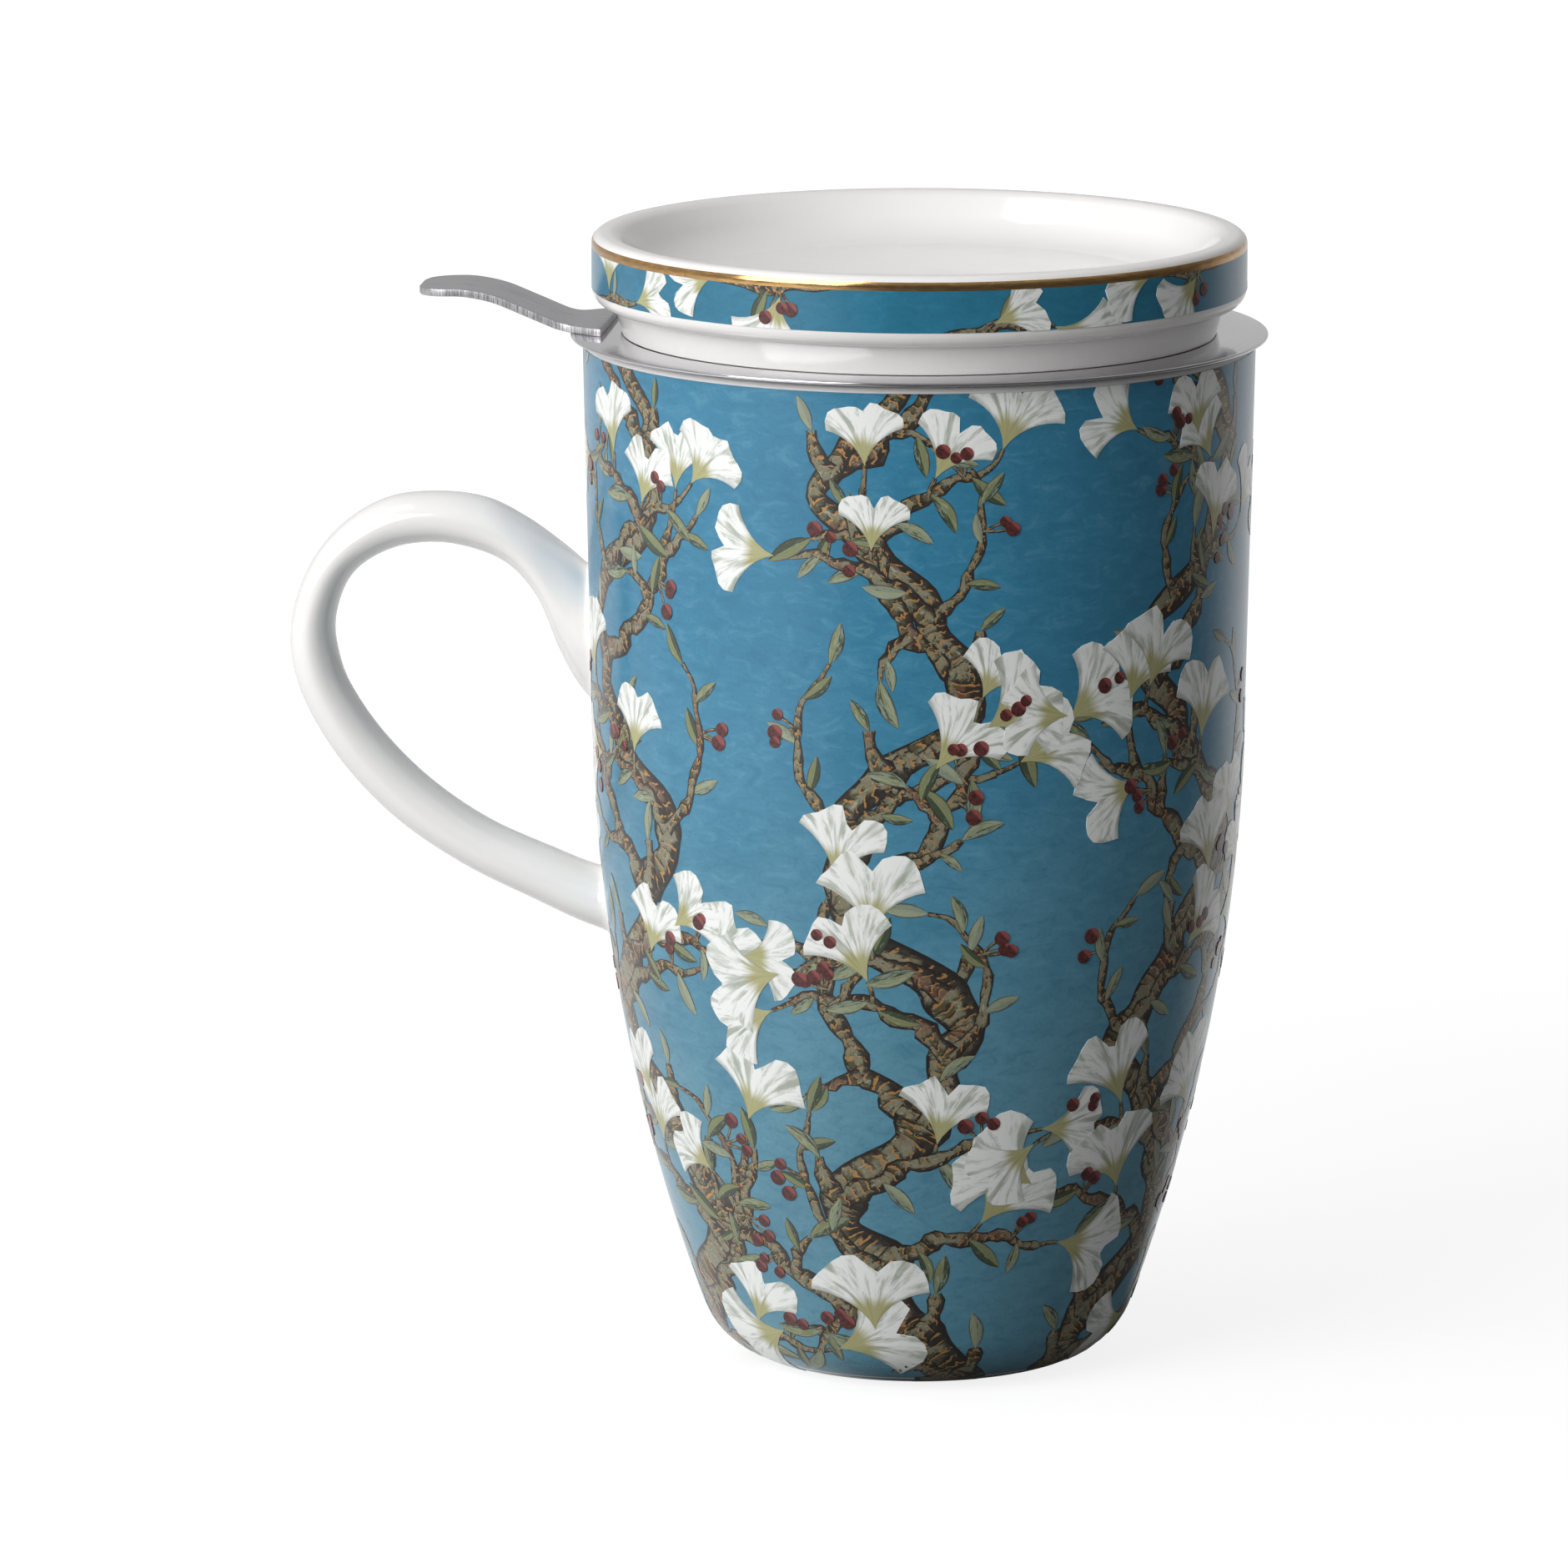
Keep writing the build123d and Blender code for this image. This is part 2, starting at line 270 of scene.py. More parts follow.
def soften(bm, vert, radius, segments=5):
    """Rounds one corner of a chain to a radius."""
    ends = [edge.other_vert(vert).co - vert.co for edge in vert.link_edges]
    reach = radius / math.tan(ends[0].angle(ends[1]) / 2)
    bmesh.ops.bevel(bm, geom=[vert], offset=reach, offset_type="OFFSET", segments=segments,
                    profile=0.5, affect="VERTICES", material=-1)


def everything(bm):
    return bm.verts[:] + bm.edges[:] + bm.faces[:]


def turn(bm, angle=FULL_TURN, start=0.0, coarser=1):
    """Spins everything drawn so far about the vertical axis and closes the result."""
    bmesh.ops.rotate(bm, verts=bm.verts, cent=(0, 0, 0),
                     matrix=Matrix.Rotation(start, 3, "Z"))
    bmesh.ops.spin(bm, geom=everything(bm), cent=(0, 0, 0), axis=(0, 0, 1), angle=angle,
                   steps=bpy.context.scene.tea_counts.turn // coarser,
                   use_merge=angle == FULL_TURN, use_duplicate=False)
    weld(bm)


def weld(bm):
    bmesh.ops.remove_doubles(bm, verts=bm.verts, dist=WELD_DISTANCE)
    bmesh.ops.recalc_face_normals(bm, faces=bm.faces)


def arc(centre, radius, start, end, steps):
    """Points on an arc of the half section, both ends included."""
    angles = [start + (end - start) * i / steps for i in range(steps + 1)]
    return [(centre[0] + radius * math.cos(a), centre[1] + radius * math.sin(a))
            for a in angles]


def polar(radius, angle, height):
    """Point at a radius and a height, turned from the front towards the right."""
    return Vector((radius * math.sin(angle), -radius * math.cos(angle), height))


def blend(values, t):
    """Smooth curve through evenly numbered values, at number t."""
    i = min(max(int(t), 0), len(values) - 2)
    s = t - i
    before, here, there, after = (values[min(max(k, 0), len(values) - 1)]
                                  for k in (i - 1, i, i + 1, i + 2))
    return 0.5 * (2 * here + (there - before) * s
                  + (2 * before - 5 * here + 4 * there - after) * s * s
                  + (3 * here - before - 3 * there + after) * s ** 3)


def smooth(low, high, value):
    s = min(max((value - low) / (high - low), 0.0), 1.0)
    return s * s * (3 - 2 * s)


BELLY_STEPS = 40
HEEL_STEPS = 12


class Wall:
    """The mug's wall line, or a line inside it, with a rounding to a floor."""

    def __init__(self, mug, inset=0.0, floor=0.0, rounding=None):
        rounding = mug.heel_rounding - inset if rounding is None else rounding
        self.lean = math.atan2(mug.rim_radius - mug.shoulder_radius,
                               mug.height - mug.shoulder_height)
        self.top = (mug.rim_radius - inset, mug.height)
        self.shoulder = (mug.shoulder_radius - inset, mug.shoulder_height)
        self.straight = math.dist(self.top, self.shoulder)
        self.curve = mug.belly_curve - inset
        self.centre = (mug.shoulder_radius - mug.belly_curve * math.cos(self.lean),
                       mug.shoulder_height + mug.belly_curve * math.sin(self.lean))
        self.rounding = rounding
        self.floor = floor
        gap = self.curve - rounding
        drop = self.centre[1] - floor - rounding
        self.heel = (self.centre[0] + math.sqrt(gap ** 2 - drop ** 2), floor + rounding)
        self.end = math.asin(drop / gap)

    def line(self):
        """Points from the floor, round the heel and up to the top."""
        heel = arc(self.heel, self.rounding, -math.pi / 2, -self.end, HEEL_STEPS)
        belly = arc(self.centre, self.curve, -self.end, -self.lean, BELLY_STEPS)
        return heel + belly[1:] + [self.top]

    def at(self, depth):
        """Radius, height and outward normal at a distance down the wall from the lip."""
        if depth < self.straight:
            share = depth / self.straight
            r = self.top[0] + (self.shoulder[0] - self.top[0]) * share
            z = self.top[1] + (self.shoulder[1] - self.top[1]) * share
            return r, z, math.cos(self.lean), -math.sin(self.lean)
        angle = self.lean + (depth - self.straight) / self.curve
        centre, radius = self.centre, self.curve
        if angle > self.end:
            angle = self.end + (angle - self.end) * self.curve / self.rounding
            centre, radius = self.heel, self.rounding
        out, up = math.cos(angle), -math.sin(angle)
        return centre[0] + radius * out, centre[1] + radius * up, out, up

    def radius_at(self, height):
        """Radius of the wall at a height on its straight or its belly."""
        if height > self.shoulder[1]:
            return self.shoulder[0] + (height - self.shoulder[1]) * math.tan(self.lean)
        return self.centre[0] + math.sqrt(self.curve ** 2 - (self.centre[1] - height) ** 2)

    def depth_of(self, height):
        """Distance down the wall to a height above the heel."""
        if height > self.shoulder[1]:
            return (self.top[1] - height) / math.cos(self.lean)
        angle = math.asin((self.centre[1] - height) / self.curve)
        return self.straight + (angle - self.lean) * self.curve

    def wrap(self, x, y, lift):
        """Point for x along the lip's circle from the front and y down the wall."""
        r, z, out, up = self.at(y)
        return polar(r + lift * out, x / self.top[0], z + lift * up)

    def spread(self, y):
        """How much a width is stretched on the flat drawing to come out true."""
        return self.top[0] / self.at(y)[0]


class Band:
    """A straight cylinder that a drawing is wrapped round."""

    def __init__(self, radius, top):
        self.radius = radius
        self.top = top

    def wrap(self, x, y, lift):
        return polar(self.radius + lift, x / self.radius, self.top - y)

    def spread(self, y):
        return 1.0


# --- materials -----------------------------------------------------------------------------

def maths(operation, swap=False):
    """An operator of Value that adds a Math node."""
    return lambda self, *others: self.math(operation, *others, swap=swap)


class Value:
    """A number in a material that can be used in expressions."""
    __add__, __radd__ = maths("ADD"), maths("ADD", swap=True)
    __sub__, __rsub__ = maths("SUBTRACT"), maths("SUBTRACT", swap=True)
    __mul__, __rmul__ = maths("MULTIPLY"), maths("MULTIPLY", swap=True)
    __pow__, __abs__ = maths("POWER"), maths("ABSOLUTE")

    def __init__(self, finish, socket):
        self.finish = finish
        self.socket = socket

    def math(self, operation, *others, swap=False):
        values = [self, *others]
        if swap:
            values.reverse()
        return self.finish.node("ShaderNodeMath", {"operation": operation},
                                dict(enumerate(values)))

    def step(self, low, high):
        """Smooth rise from 0 at low to 1 at high."""
        inputs = {"Value": self, "From Min": low, "From Max": high}
        return self.finish.node("ShaderNodeMapRange", {"interpolation_type": "SMOOTHSTEP"},
                                inputs, "Result")


class Finish:
    """A node material round one Principled shader."""

    def __init__(self, name):
        self.material = bpy.data.materials.new(name)
        self.material.use_nodes = True
        self.tree = self.material.node_tree
        self.shader = self.tree.nodes["Principled BSDF"]

    def node(self, kind, settings=None, inputs=None, output=0):
        """Adds a node: its settings first, then the values or links of its sockets."""
        made = self.tree.nodes.new(kind)
        for key, value in (settings or {}).items():
            setattr(made, key, value)
        for key, value in (inputs or {}).items():
            self.feed(made.inputs[key], value)
        return Value(self, made.outputs[output])

    def feed(self, socket, value):
        if isinstance(value, Value):
            self.tree.links.new(value.socket, socket)
        elif socket.type == "RGBA" and len(value) == 3:
            socket.default_value = (*value, 1)
        else:
            socket.default_value = value

    def set(self, **sockets):
        """Feeds the shader's own sockets, named with underscores for spaces."""
        for key, value in sockets.items():
            self.feed(self.shader.inputs[key.replace("_", " ")], value)
        return self.material

    def fired(self, paint, matt, relief, strength, depth=0.05):
        """Sets the shader up as fired paint, glossy where matt is low."""
        return self.set(Base_Color=paint, Roughness=PRINT_ROUGHNESS + matt, IOR=1.5,
                        Normal=self.bump(relief, strength, depth))

    def vector(self, operation, *values):
        return self.node("ShaderNodeVectorMath", {"operation": operation},
                         dict(enumerate(values)), "Value" if operation == "LENGTH" else 0)

    def place(self, scale=(1, 1, 1)):
        """Object coordinates in millimetres, stretched by scale."""
        where = self.node("ShaderNodeTexCoord", output="Object")
        return self.vector("MULTIPLY", where, tuple(s / MM for s in scale))

    def part(self, vector, axis):
        return self.node("ShaderNodeSeparateXYZ", inputs={"Vector": vector}, output=axis)

    def combine(self, x, y, z):
        return self.node("ShaderNodeCombineXYZ", inputs={"X": x, "Y": y, "Z": z})

    def noise(self, vector, scale, detail=3.0, roughness=0.55, distortion=0.0):
        inputs = {"Vector": vector, "Scale": scale, "Detail": detail,
                  "Roughness": roughness, "Distortion": distortion}
        return self.node("ShaderNodeTexNoise", inputs=inputs, output="Fac")

    def coats(self, tone, *coats):
        """A colour under coats of others, each given as its share and its colour."""
        for share, shade in coats:
            tone = self.node("ShaderNodeMix", {"data_type": "RGBA"},
                             {"Factor": share, 6: tone, 7: shade}, 2)
        return tone

    def bump(self, height, strength, distance):
        inputs = {"Height": height, "Strength": strength, "Distance": distance * MM}
        return self.node("ShaderNodeBump", inputs=inputs, output="Normal")

    def ray(self, kind):
        return self.node("ShaderNodeLightPath", output=f"Is {kind} Ray")

    def drawing(self):
        """The motif's own place: along, across, and a tone that differs by motif."""
        where = self.node("ShaderNodeUVMap", {"uv_map": "drawing"})
        tone = self.node("ShaderNodeAttribute", {"attribute_name": "tone"}, output="Fac")
        return self.part(where, "X"), self.part(where, "Y"), tone


def finishes():
    return bpy.context.scene.tea_finishes


def tinted(tone, share):
    """A colour made darker or lighter by a share."""
    return tuple(min(c * share, 1.0) for c in tone)


GLAZE_ROUGHNESS = 0.06
PRINT_ROUGHNESS = 0.16


def make_porcelain():
    """White body under a clear glaze: faint clouding, a soft orange-peel ripple."""
    f = Finish("glazed_porcelain")
    where = f.place()
    cloud = f.noise(where, 0.05, 2.0)
    ripple = f.noise(where, 0.22, 1.0)
    speck = f.noise(where, 3.0, 2.0).step(0.74, 0.80)
    white = finishes().porcelain
    tone = f.coats(tinted(white, 0.985), (cloud.step(0.35, 0.65), white),
                   (speck * 0.06, tinted(white, 0.6)))
    return f.set(Base_Color=tone, Roughness=GLAZE_ROUGHNESS + cloud * 0.03, IOR=1.52,
                 Normal=f.bump(ripple, 0.12, 0.08))


def make_bisque():
    """Bare ground foot ring, dry and slightly speckled."""
    f = Finish("bare_foot_ring")
    grain = f.noise(f.place(), 4.0, 4.0, 0.7)
    bare = finishes().bisque
    tone = f.coats(tinted(bare, 0.88), (grain.step(0.4, 0.7), bare))
    return f.set(Base_Color=tone, Roughness=0.72 + grain * 0.15,
                 Normal=f.bump(grain, 0.5, 0.06))


def painted_ground(name, upper, lower):
    """Teal ground in short brush strokes over a fine weave, greyer towards the foot."""
    f = Finish(name)
    where = f.place()
    strokes = f.noise(f.place((0.5, 0.5, 1.1)), 0.55, 5.0, 0.62, 0.9)
    patches = f.noise(where, 0.05, 3.0, 0.6)
    weave = f.noise(f.place((1, 1, 1.2)), 1.9, 2.0, 0.5)
    low = (f.part(where, "Z") + patches * 30).step(125, 45)
    paint = f.coats(upper, (low, lower),
                    (patches.step(0.42, 0.66) * 0.20, tinted(upper, 0.72)),
                    (strokes.step(0.48, 0.75) * 0.32, tinted(lower, 1.3)),
                    (strokes.step(0.52, 0.28) * 0.36, tinted(upper, 0.66)),
                    (weave.step(0.5, 0.75) * 0.20, tinted(upper, 0.6)))
    relief = strokes * 0.4 + f.noise(where, 0.2, 1.0)
    return f.fired(paint, patches * 0.06, relief, 0.10, 0.08)


def painted_fan():
    """White fan leaf: strokes that spread from a yellow green foot, a cool thin edge."""
    f = Finish("painted_fan_leaf")
    along, across, tone = f.drawing()
    rays = f.combine(along * 1.4, across * 9.0, tone * 37.0)
    streak = f.noise(rays, 1.6, 4.0, 0.65, 0.4)
    dabs = f.noise(rays, 0.8, 2.0)
    edge = abs(across - 0.5).step(0.44, 0.5)
    colours = finishes()
    paint = f.coats(colours.fan, (streak.step(0.46, 0.66) * 0.75, colours.fan_shade),
                    (dabs.step(0.56, 0.66) * 0.5, tinted(colours.fan_shade, 0.75)),
                    ((0.42 + dabs * 0.25 - along).step(0.0, 0.22) * 0.85, colours.fan_heart),
                    (edge * 0.55, tinted(colours.fan_shade, 0.55)))
    return f.fired(paint, streak * 0.08, streak + edge * 0.4, 0.25)


def painted_sprig():
    """Narrow sage leaf, one half in shade, with a pale rib and a dark edge."""
    f = Finish("painted_sprig_leaf")
    along, across, tone = f.drawing()
    grain = f.noise(f.combine(along * 3.0, across * 5.0, tone * 53.0), 1.5, 4.0, 0.65)
    side = abs(across - 0.5)
    colours = finishes()
    paint = f.coats(colours.sprig,
                    ((across + grain * 0.3).step(0.5, 0.75), colours.sprig_dark),
                    ((grain + tone * 0.3).step(0.6, 0.75) * 0.6, colours.fan_shade),
                    ((1 - side.step(0.02, 0.08)) * 0.5, tinted(colours.sprig, 1.6)),
                    (side.step(0.38, 0.48) * 0.8, colours.stem_dark))
    return f.fired(paint, grain * 0.08, grain, 0.25)


def painted_stem():
    """Gnarled vine in olive and grey dabs, a dark edge, broken arcs of black and gold."""
    f = Finish("painted_stem")
    along, across, tone = f.drawing()
    bark = f.noise(f.combine(along * 0.8, across * 5.0, tone * 41.0), 1.2, 5.0, 0.65, 0.9)
    dabs = f.noise(f.combine(along * 0.36, across * 1.6, tone * 29.0), 1.0, 3.0, 0.55, 0.7)
    patch = f.noise(f.combine(along * 0.10, across * 0.4, tone * 17.0), 1.0, 2.0)
    bow = along * 4.4 + (across - 0.35) ** 2 * 9.0 + dabs * 16.0
    busy = (dabs * 0.6 + bark * 0.4).step(0.43, 0.51)
    side = abs(across - 0.5) + (bark - 0.5) * 0.36
    line = (bow + 1.3).math("SINE").step(0.68, 0.90) * (1 - side.step(0.32, 0.38)) * busy
    colours = finishes()
    paint = f.coats(colours.stem, (bark.step(0.42, 0.60), colours.stem_grey),
                    (dabs.step(0.47, 0.60), tinted(colours.stem, 0.42)),
                    (patch.step(0.56, 0.66) * 0.75, colours.rust),
                    ((1 - bark).step(0.55, 0.66) * 0.75, colours.fan_shade),
                    (bow.math("SINE").step(0.35, 0.85) * busy * 0.8, colours.stem_dark),
                    ((across + (dabs - 0.5) * 0.9).step(0.58, 0.74) * 0.9, colours.stem_dark),
                    (side.step(0.36, 0.44), colours.stem_dark),
                    (line * 0.9, colours.fired_gold))
    return f.set(Base_Color=paint, Metallic=line * 0.35,
                 Roughness=PRINT_ROUGHNESS + bark * 0.10 + line * 0.1, IOR=1.5,
                 Normal=f.bump(bark * 0.6 + line, 0.3, 0.05))


def painted_berry():
    """Dark red berry with a lit side."""
    f = Finish("painted_berry")
    along, across, tone = f.drawing()
    grain = f.noise(f.combine(along * 3.0, across * 3.0, tone * 61.0), 1.4, 3.0)
    red = finishes().berry
    gleam = (along - across + grain * 0.3).step(0.30, 0.55)
    paint = f.coats(red, (grain.step(0.4, 0.65), tinted(red, 0.45)),
                    (gleam * 0.7, tinted(red, 3.0)))
    return f.fired(paint, grain * 0.06, grain, 0.2, 0.04)


def burnished_gold():
    """Thin fired gold, hand drawn round the lid: level streaks, rubbed through in places."""
    f = Finish("burnished_gold")
    streak = f.noise(f.place((0.5, 0.5, 3.0)), 1.1, 4.0, 0.6)
    worn = f.noise(f.place(), 0.35, 3.0, 0.6).step(0.62, 0.74)
    gold = finishes().gold
    tone = f.coats(tinted(gold, 0.72), (streak.step(0.4, 0.7), gold),
                   (worn * 0.5, tinted(gold, 0.42)))
    return f.set(Base_Color=tone, Metallic=0.95 - worn * 0.15, Roughness=0.08 + streak * 0.14,
                 Normal=f.bump(streak, 0.25, 0.04))


def brushed(name, stretch, share, roughness, scratches=0.0):
    """Sheet steel with fine lines along one direction, and scratches down its middle."""
    f = Finish(name)
    lines = f.noise(f.place(stretch), 2.4, 4.0, 0.7)
    smudge = f.noise(f.place(), 0.11, 3.0, 0.6)
    steel = tinted(finishes().steel, share)
    tone = f.coats(tinted(steel, 0.86), (lines.step(0.35, 0.7), steel),
                   (smudge.step(0.5, 0.7) * 0.25, tinted(steel, 0.8)))
    if scratches:
        marks = f.noise(f.place((0.14, 1.5, 0.2)), 1.3, 3.0, 0.6, 0.4)
        middle = 1 - abs(f.part(f.place(), "Y")).step(1.5, 4.5)
        dark = marks.step(0.56, 0.64) * middle * scratches
        bright = (1 - marks).step(0.60, 0.68) * middle * scratches
        tone = f.coats(tone, (dark, tinted(steel, 0.45)), (bright, tinted(steel, 1.25)))
    return f.set(Base_Color=tone, Metallic=1.0,
                 Roughness=roughness + lines * 0.12 + smudge * 0.06,
                 Normal=f.bump(lines, 0.35, 0.05))


def turned_steel():
    """Rim steel with fine lines round the axis."""
    f = Finish("turned_steel")
    where = f.place()
    flat = f.vector("MULTIPLY", where, (1, 1, 0))
    heading = f.vector("NORMALIZE", flat)
    ring = f.combine(f.part(heading, "X") * 1.5, f.part(heading, "Y") * 1.5,
                     f.vector("LENGTH", flat) * 6.0 + f.part(where, "Z") * 6.0)
    lines = f.noise(ring, 1.6, 4.0, 0.7)
    smudge = f.noise(where, 0.09, 3.0, 0.6)
    steel = finishes().steel
    tone = f.coats(tinted(steel, 0.96), (lines.step(0.35, 0.7), tinted(steel, 1.12)),
                   (smudge.step(0.5, 0.7) * 0.2, tinted(steel, 0.92)))
    return f.set(Base_Color=tone, Metallic=1.0, Roughness=0.04 + lines * 0.04 + smudge * 0.04,
                 Normal=f.bump(lines, 0.08, 0.01))


def sheared_steel():
    """Bright cut edge of thick sheet with upright drag marks from the press."""
    f = Finish("sheared_steel_edge")
    marks = f.noise(f.place((6.5, 6.5, 0.3)), 1.0, 3.0, 0.7)
    steel = finishes().steel
    tone = f.coats(tinted(steel, 0.5), (marks.step(0.35, 0.65), tinted(steel, 1.15)))
    return f.set(Base_Color=tone, Metallic=1.0, Roughness=0.38 + marks * 0.20,
                 Normal=f.bump(marks, 0.5, 0.05))


FINISH_MAKERS = {
    "porcelain": make_porcelain,
    "bisque": make_bisque,
    "mug_ground": lambda: painted_ground("painted_ground_mug", finishes().ground,
                                         finishes().ground_low),
    "lid_ground": lambda: painted_ground("painted_ground_lid", finishes().lid_ground,
                                         finishes().ground),
    "fan": painted_fan,
    "sprig": painted_sprig,
    "stem": painted_stem,
    "berry": painted_berry,
    "gold": burnished_gold,
    "rim_steel": turned_steel,
    "tab_steel": lambda: brushed("brushed_tab_steel", (0.12, 2.4, 0.3), 0.82, 0.26, 0.55),
    "basket_steel": lambda: brushed("brushed_basket_steel", (0.5, 0.5, 1.8), 0.9, 0.3),
    "sheared": sheared_steel,
}
@cache
def finish(name):
    """One of the materials above, made when it is first asked for."""
    return FINISH_MAKERS[name]()


# --- mug -----------------------------------------------------------------------------------

BARE_FOOT = 0.02                # faces below this height stay unglazed


def make_mug_body():
    """Porcelain cup: foot ring, round heel, long belly, straight wall and rounded lip."""
    mug = sizes("mug")
    foot = [(0, mug.foot_recess),
            (mug.foot_inner_radius - 2 * mug.foot_recess, mug.foot_recess),
            (mug.foot_inner_radius, 0)]
    outside = Wall(mug, sizes("print").step).line()
    inside = Wall(mug, mug.wall, mug.floor_height, mug.floor_rounding).line()
    bm = bmesh.new()
    verts = wire(bm, foot + outside + inside[::-1] + [(0, mug.floor_height)])
    lip = len(foot) + len(outside)
    for corner in verts[lip - 1:lip + 1]:
        soften(bm, corner, mug.rim_rounding)
    turn(bm)
    for face in bm.faces:
        if max(v.co.z for v in face.verts) < BARE_FOOT:
            face.material_index = 1
    finish_piece(bm, "porcelain_body", "mug", ["mug_body"],
                 ["porcelain", "bisque"])


# Stations along the ear, from inside the wall at the upper root round to the lower root:
# outer edge's reach and height, inner edge's reach and height, width across the ear.
EAR_STATIONS = (
    (40.6, 101.8, 40.6, 84.5, 13.0),
    (44.2, 105.3, 44.5, 88.4, 12.6),
    (47.7, 108.2, 47.3, 93.3, 11.9),
    (52.1, 111.2, 50.2, 100.4, 11.2),
    (57.4, 113.7, 54.6, 105.2, 10.6),
    (63.8, 114.4, 61.4, 107.5, 10.2),
    (70.4, 113.5, 67.8, 107.3, 10.0),
    (76.2, 110.1, 72.8, 105.2, 10.0),
    (80.6, 104.8, 75.9, 102.0, 10.0),
    (83.14, 98.0, 77.5, 97.0, 10.0),
    (83.24, 91.6, 77.1, 92.5, 10.0),
    (81.1, 85.1, 75.4, 87.9, 10.0),
    (76.3, 77.5, 71.1, 81.7, 10.1),
    (69.2, 70.3, 64.8, 75.5, 10.3),
    (60.3, 64.4, 57.0, 70.3, 10.6),
    (50.4, 59.7, 47.9, 66.4, 11.2),
    (44.6, 57.1, 43.2, 64.6, 11.8),
    (38.2, 54.9, 37.4, 63.2, 12.4),
)
EAR_SIDES = 40
EAR_RINGS = 84
ROOT_RINGS = 10
FILLET_RINGS = 6
ROOT_SPAN = 2.4                 # stations taken up by each root
ROOT_SINK = 0.02                # how deep the fillet's edge lies in the wall
ROOT_HALVINGS = 30              # halvings to find where the skin meets the wall
ROOT_STEPS = 400                # steps to find where the fillet leaves the skin
FILM_STEP = 1.6
FILM_SEARCH = 0.05


def ear_point(t, angle):
    """Point on the ear's skin at station t, angle round the section from its outer edge."""
    outer_reach, outer_height, inner_reach, inner_height, width = (
        blend(column, t) for column in zip(*EAR_STATIONS))
    outer = Vector((-outer_reach, 0, outer_height))
    inner = Vector((-inner_reach, 0, inner_height))
    middle = (outer + inner) / 2
    return middle + (outer - middle) * math.cos(angle) \
        + Vector((0, width / 2 * math.sin(angle), 0))


def root_line(wall, angle, first, last, fillet):
    """One line of skin from the wall, over a fillet and out along the ear."""
    inside, outside = first, last
    for _ in range(ROOT_HALVINGS):
        t = (inside + outside) / 2
        meet = ear_point(t, angle)
        if math.hypot(meet.x, meet.y) < wall.radius_at(meet.z):
            inside = t
        else:
            outside = t
    centre = (meet + ear_point(t, angle + math.pi)) / 2
    normal = Vector((meet.x, meet.y, 0)).normalized()
    away = meet - centre
    away = (away - normal * away.dot(normal)).normalized()
    spread = meet + away * fillet
    reach = wall.radius_at(spread.z) - ROOT_SINK
    flat = Vector((spread.x, spread.y, 0)).normalized() * reach
    spread = Vector((flat.x, flat.y, spread.z))
    leave = t
    while (ear_point(leave, angle) - meet).length < fillet:
        leave += (last - first) / ROOT_STEPS
    departure = ear_point(leave, angle)
    line = []
    for k in range(FILLET_RINGS + 1):
        s = k / FILLET_RINGS
        line.append(spread * (1 - s) ** 2 + meet * 2 * s * (1 - s) + departure * s * s)
    for k in range(1, ROOT_RINGS + 1):
        line.append(ear_point(leave + (last - leave) * k / ROOT_RINGS, angle))
    return line


def make_mug_handle():
    """Ear handle: an oval bar that swells into both roots and meets the wall in a fillet."""
    mug = sizes("mug")
    wall = Wall(mug, sizes("print").step)
    end = len(EAR_STATIONS) - 1
    lines = []
    for side in range(EAR_SIDES + 1):
        angle = FULL_TURN * side / EAR_SIDES
        upper = root_line(wall, angle, 0.0, ROOT_SPAN, mug.handle_fillet)
        lower = root_line(wall, angle, end, end - ROOT_SPAN, mug.handle_fillet)
        middle = [ear_point(ROOT_SPAN + (end - 2 * ROOT_SPAN) * k / EAR_RINGS, angle)
                  for k in range(1, EAR_RINGS)]
        lines.append(upper + middle + lower[::-1])
    bm = bmesh.new()
    bend_grid(bm, lines)
    weld(bm)
    bmesh.ops.holes_fill(bm, edges=[e for e in bm.edges if e.is_boundary], sides=0)
    weld(bm)
    finish_piece(bm, "porcelain_handle", "mug", ["mug_handle"],
                 ["porcelain"], 60)


def make_mug_ground():
    """The teal film round the mug, a thin closed shell that stops short behind the handle."""
    mug, printed = sizes("mug"), sizes("print")
    outer = Wall(mug)
    sunk = Wall(mug, printed.step + printed.sink)
    depths = film_depths(outer, printed)
    bm = bmesh.new()
    points = [outer.at(d)[:2] for d in depths] + [sunk.at(d)[:2] for d in reversed(depths)]
    bm.faces.new(wire(bm, points, closed=True))
    gap = printed.gap / mug.shoulder_radius
    turn(bm, FULL_TURN - gap, math.pi + gap / 2)
    finish_piece(bm, "printed_ground", "mug", ["mug_print"], ["mug_ground"], 50)


def film_depths(wall, printed):
    """Distances down the wall from the film's upper to its lower edge."""
    first = last = wall.depth_of(printed.top)
    while wall.at(last)[1] > printed.bottom:
        last += FILM_SEARCH
    count = math.ceil((last - first) / FILM_STEP)
    return [first + (last - first) * i / count for i in range(count + 1)]


# --- printed design ------------------------------------------------------------------------

# How far the kinds of motif stand proud of the film, and what keeps crossing ones apart.
STEM_LIFT = 0.01
BRANCH_LIFT = 0.018
TWIG_LIFT = 0.022
SPRIG_LIFT = 0.03
FAN_LIFT = 0.06
BERRY_LIFT = 0.12
FAN_LAYER = 0.012
STAGGER = 0.003
STROKE_STEP = 1.3
TRIM_DISTANCE = 1e-5


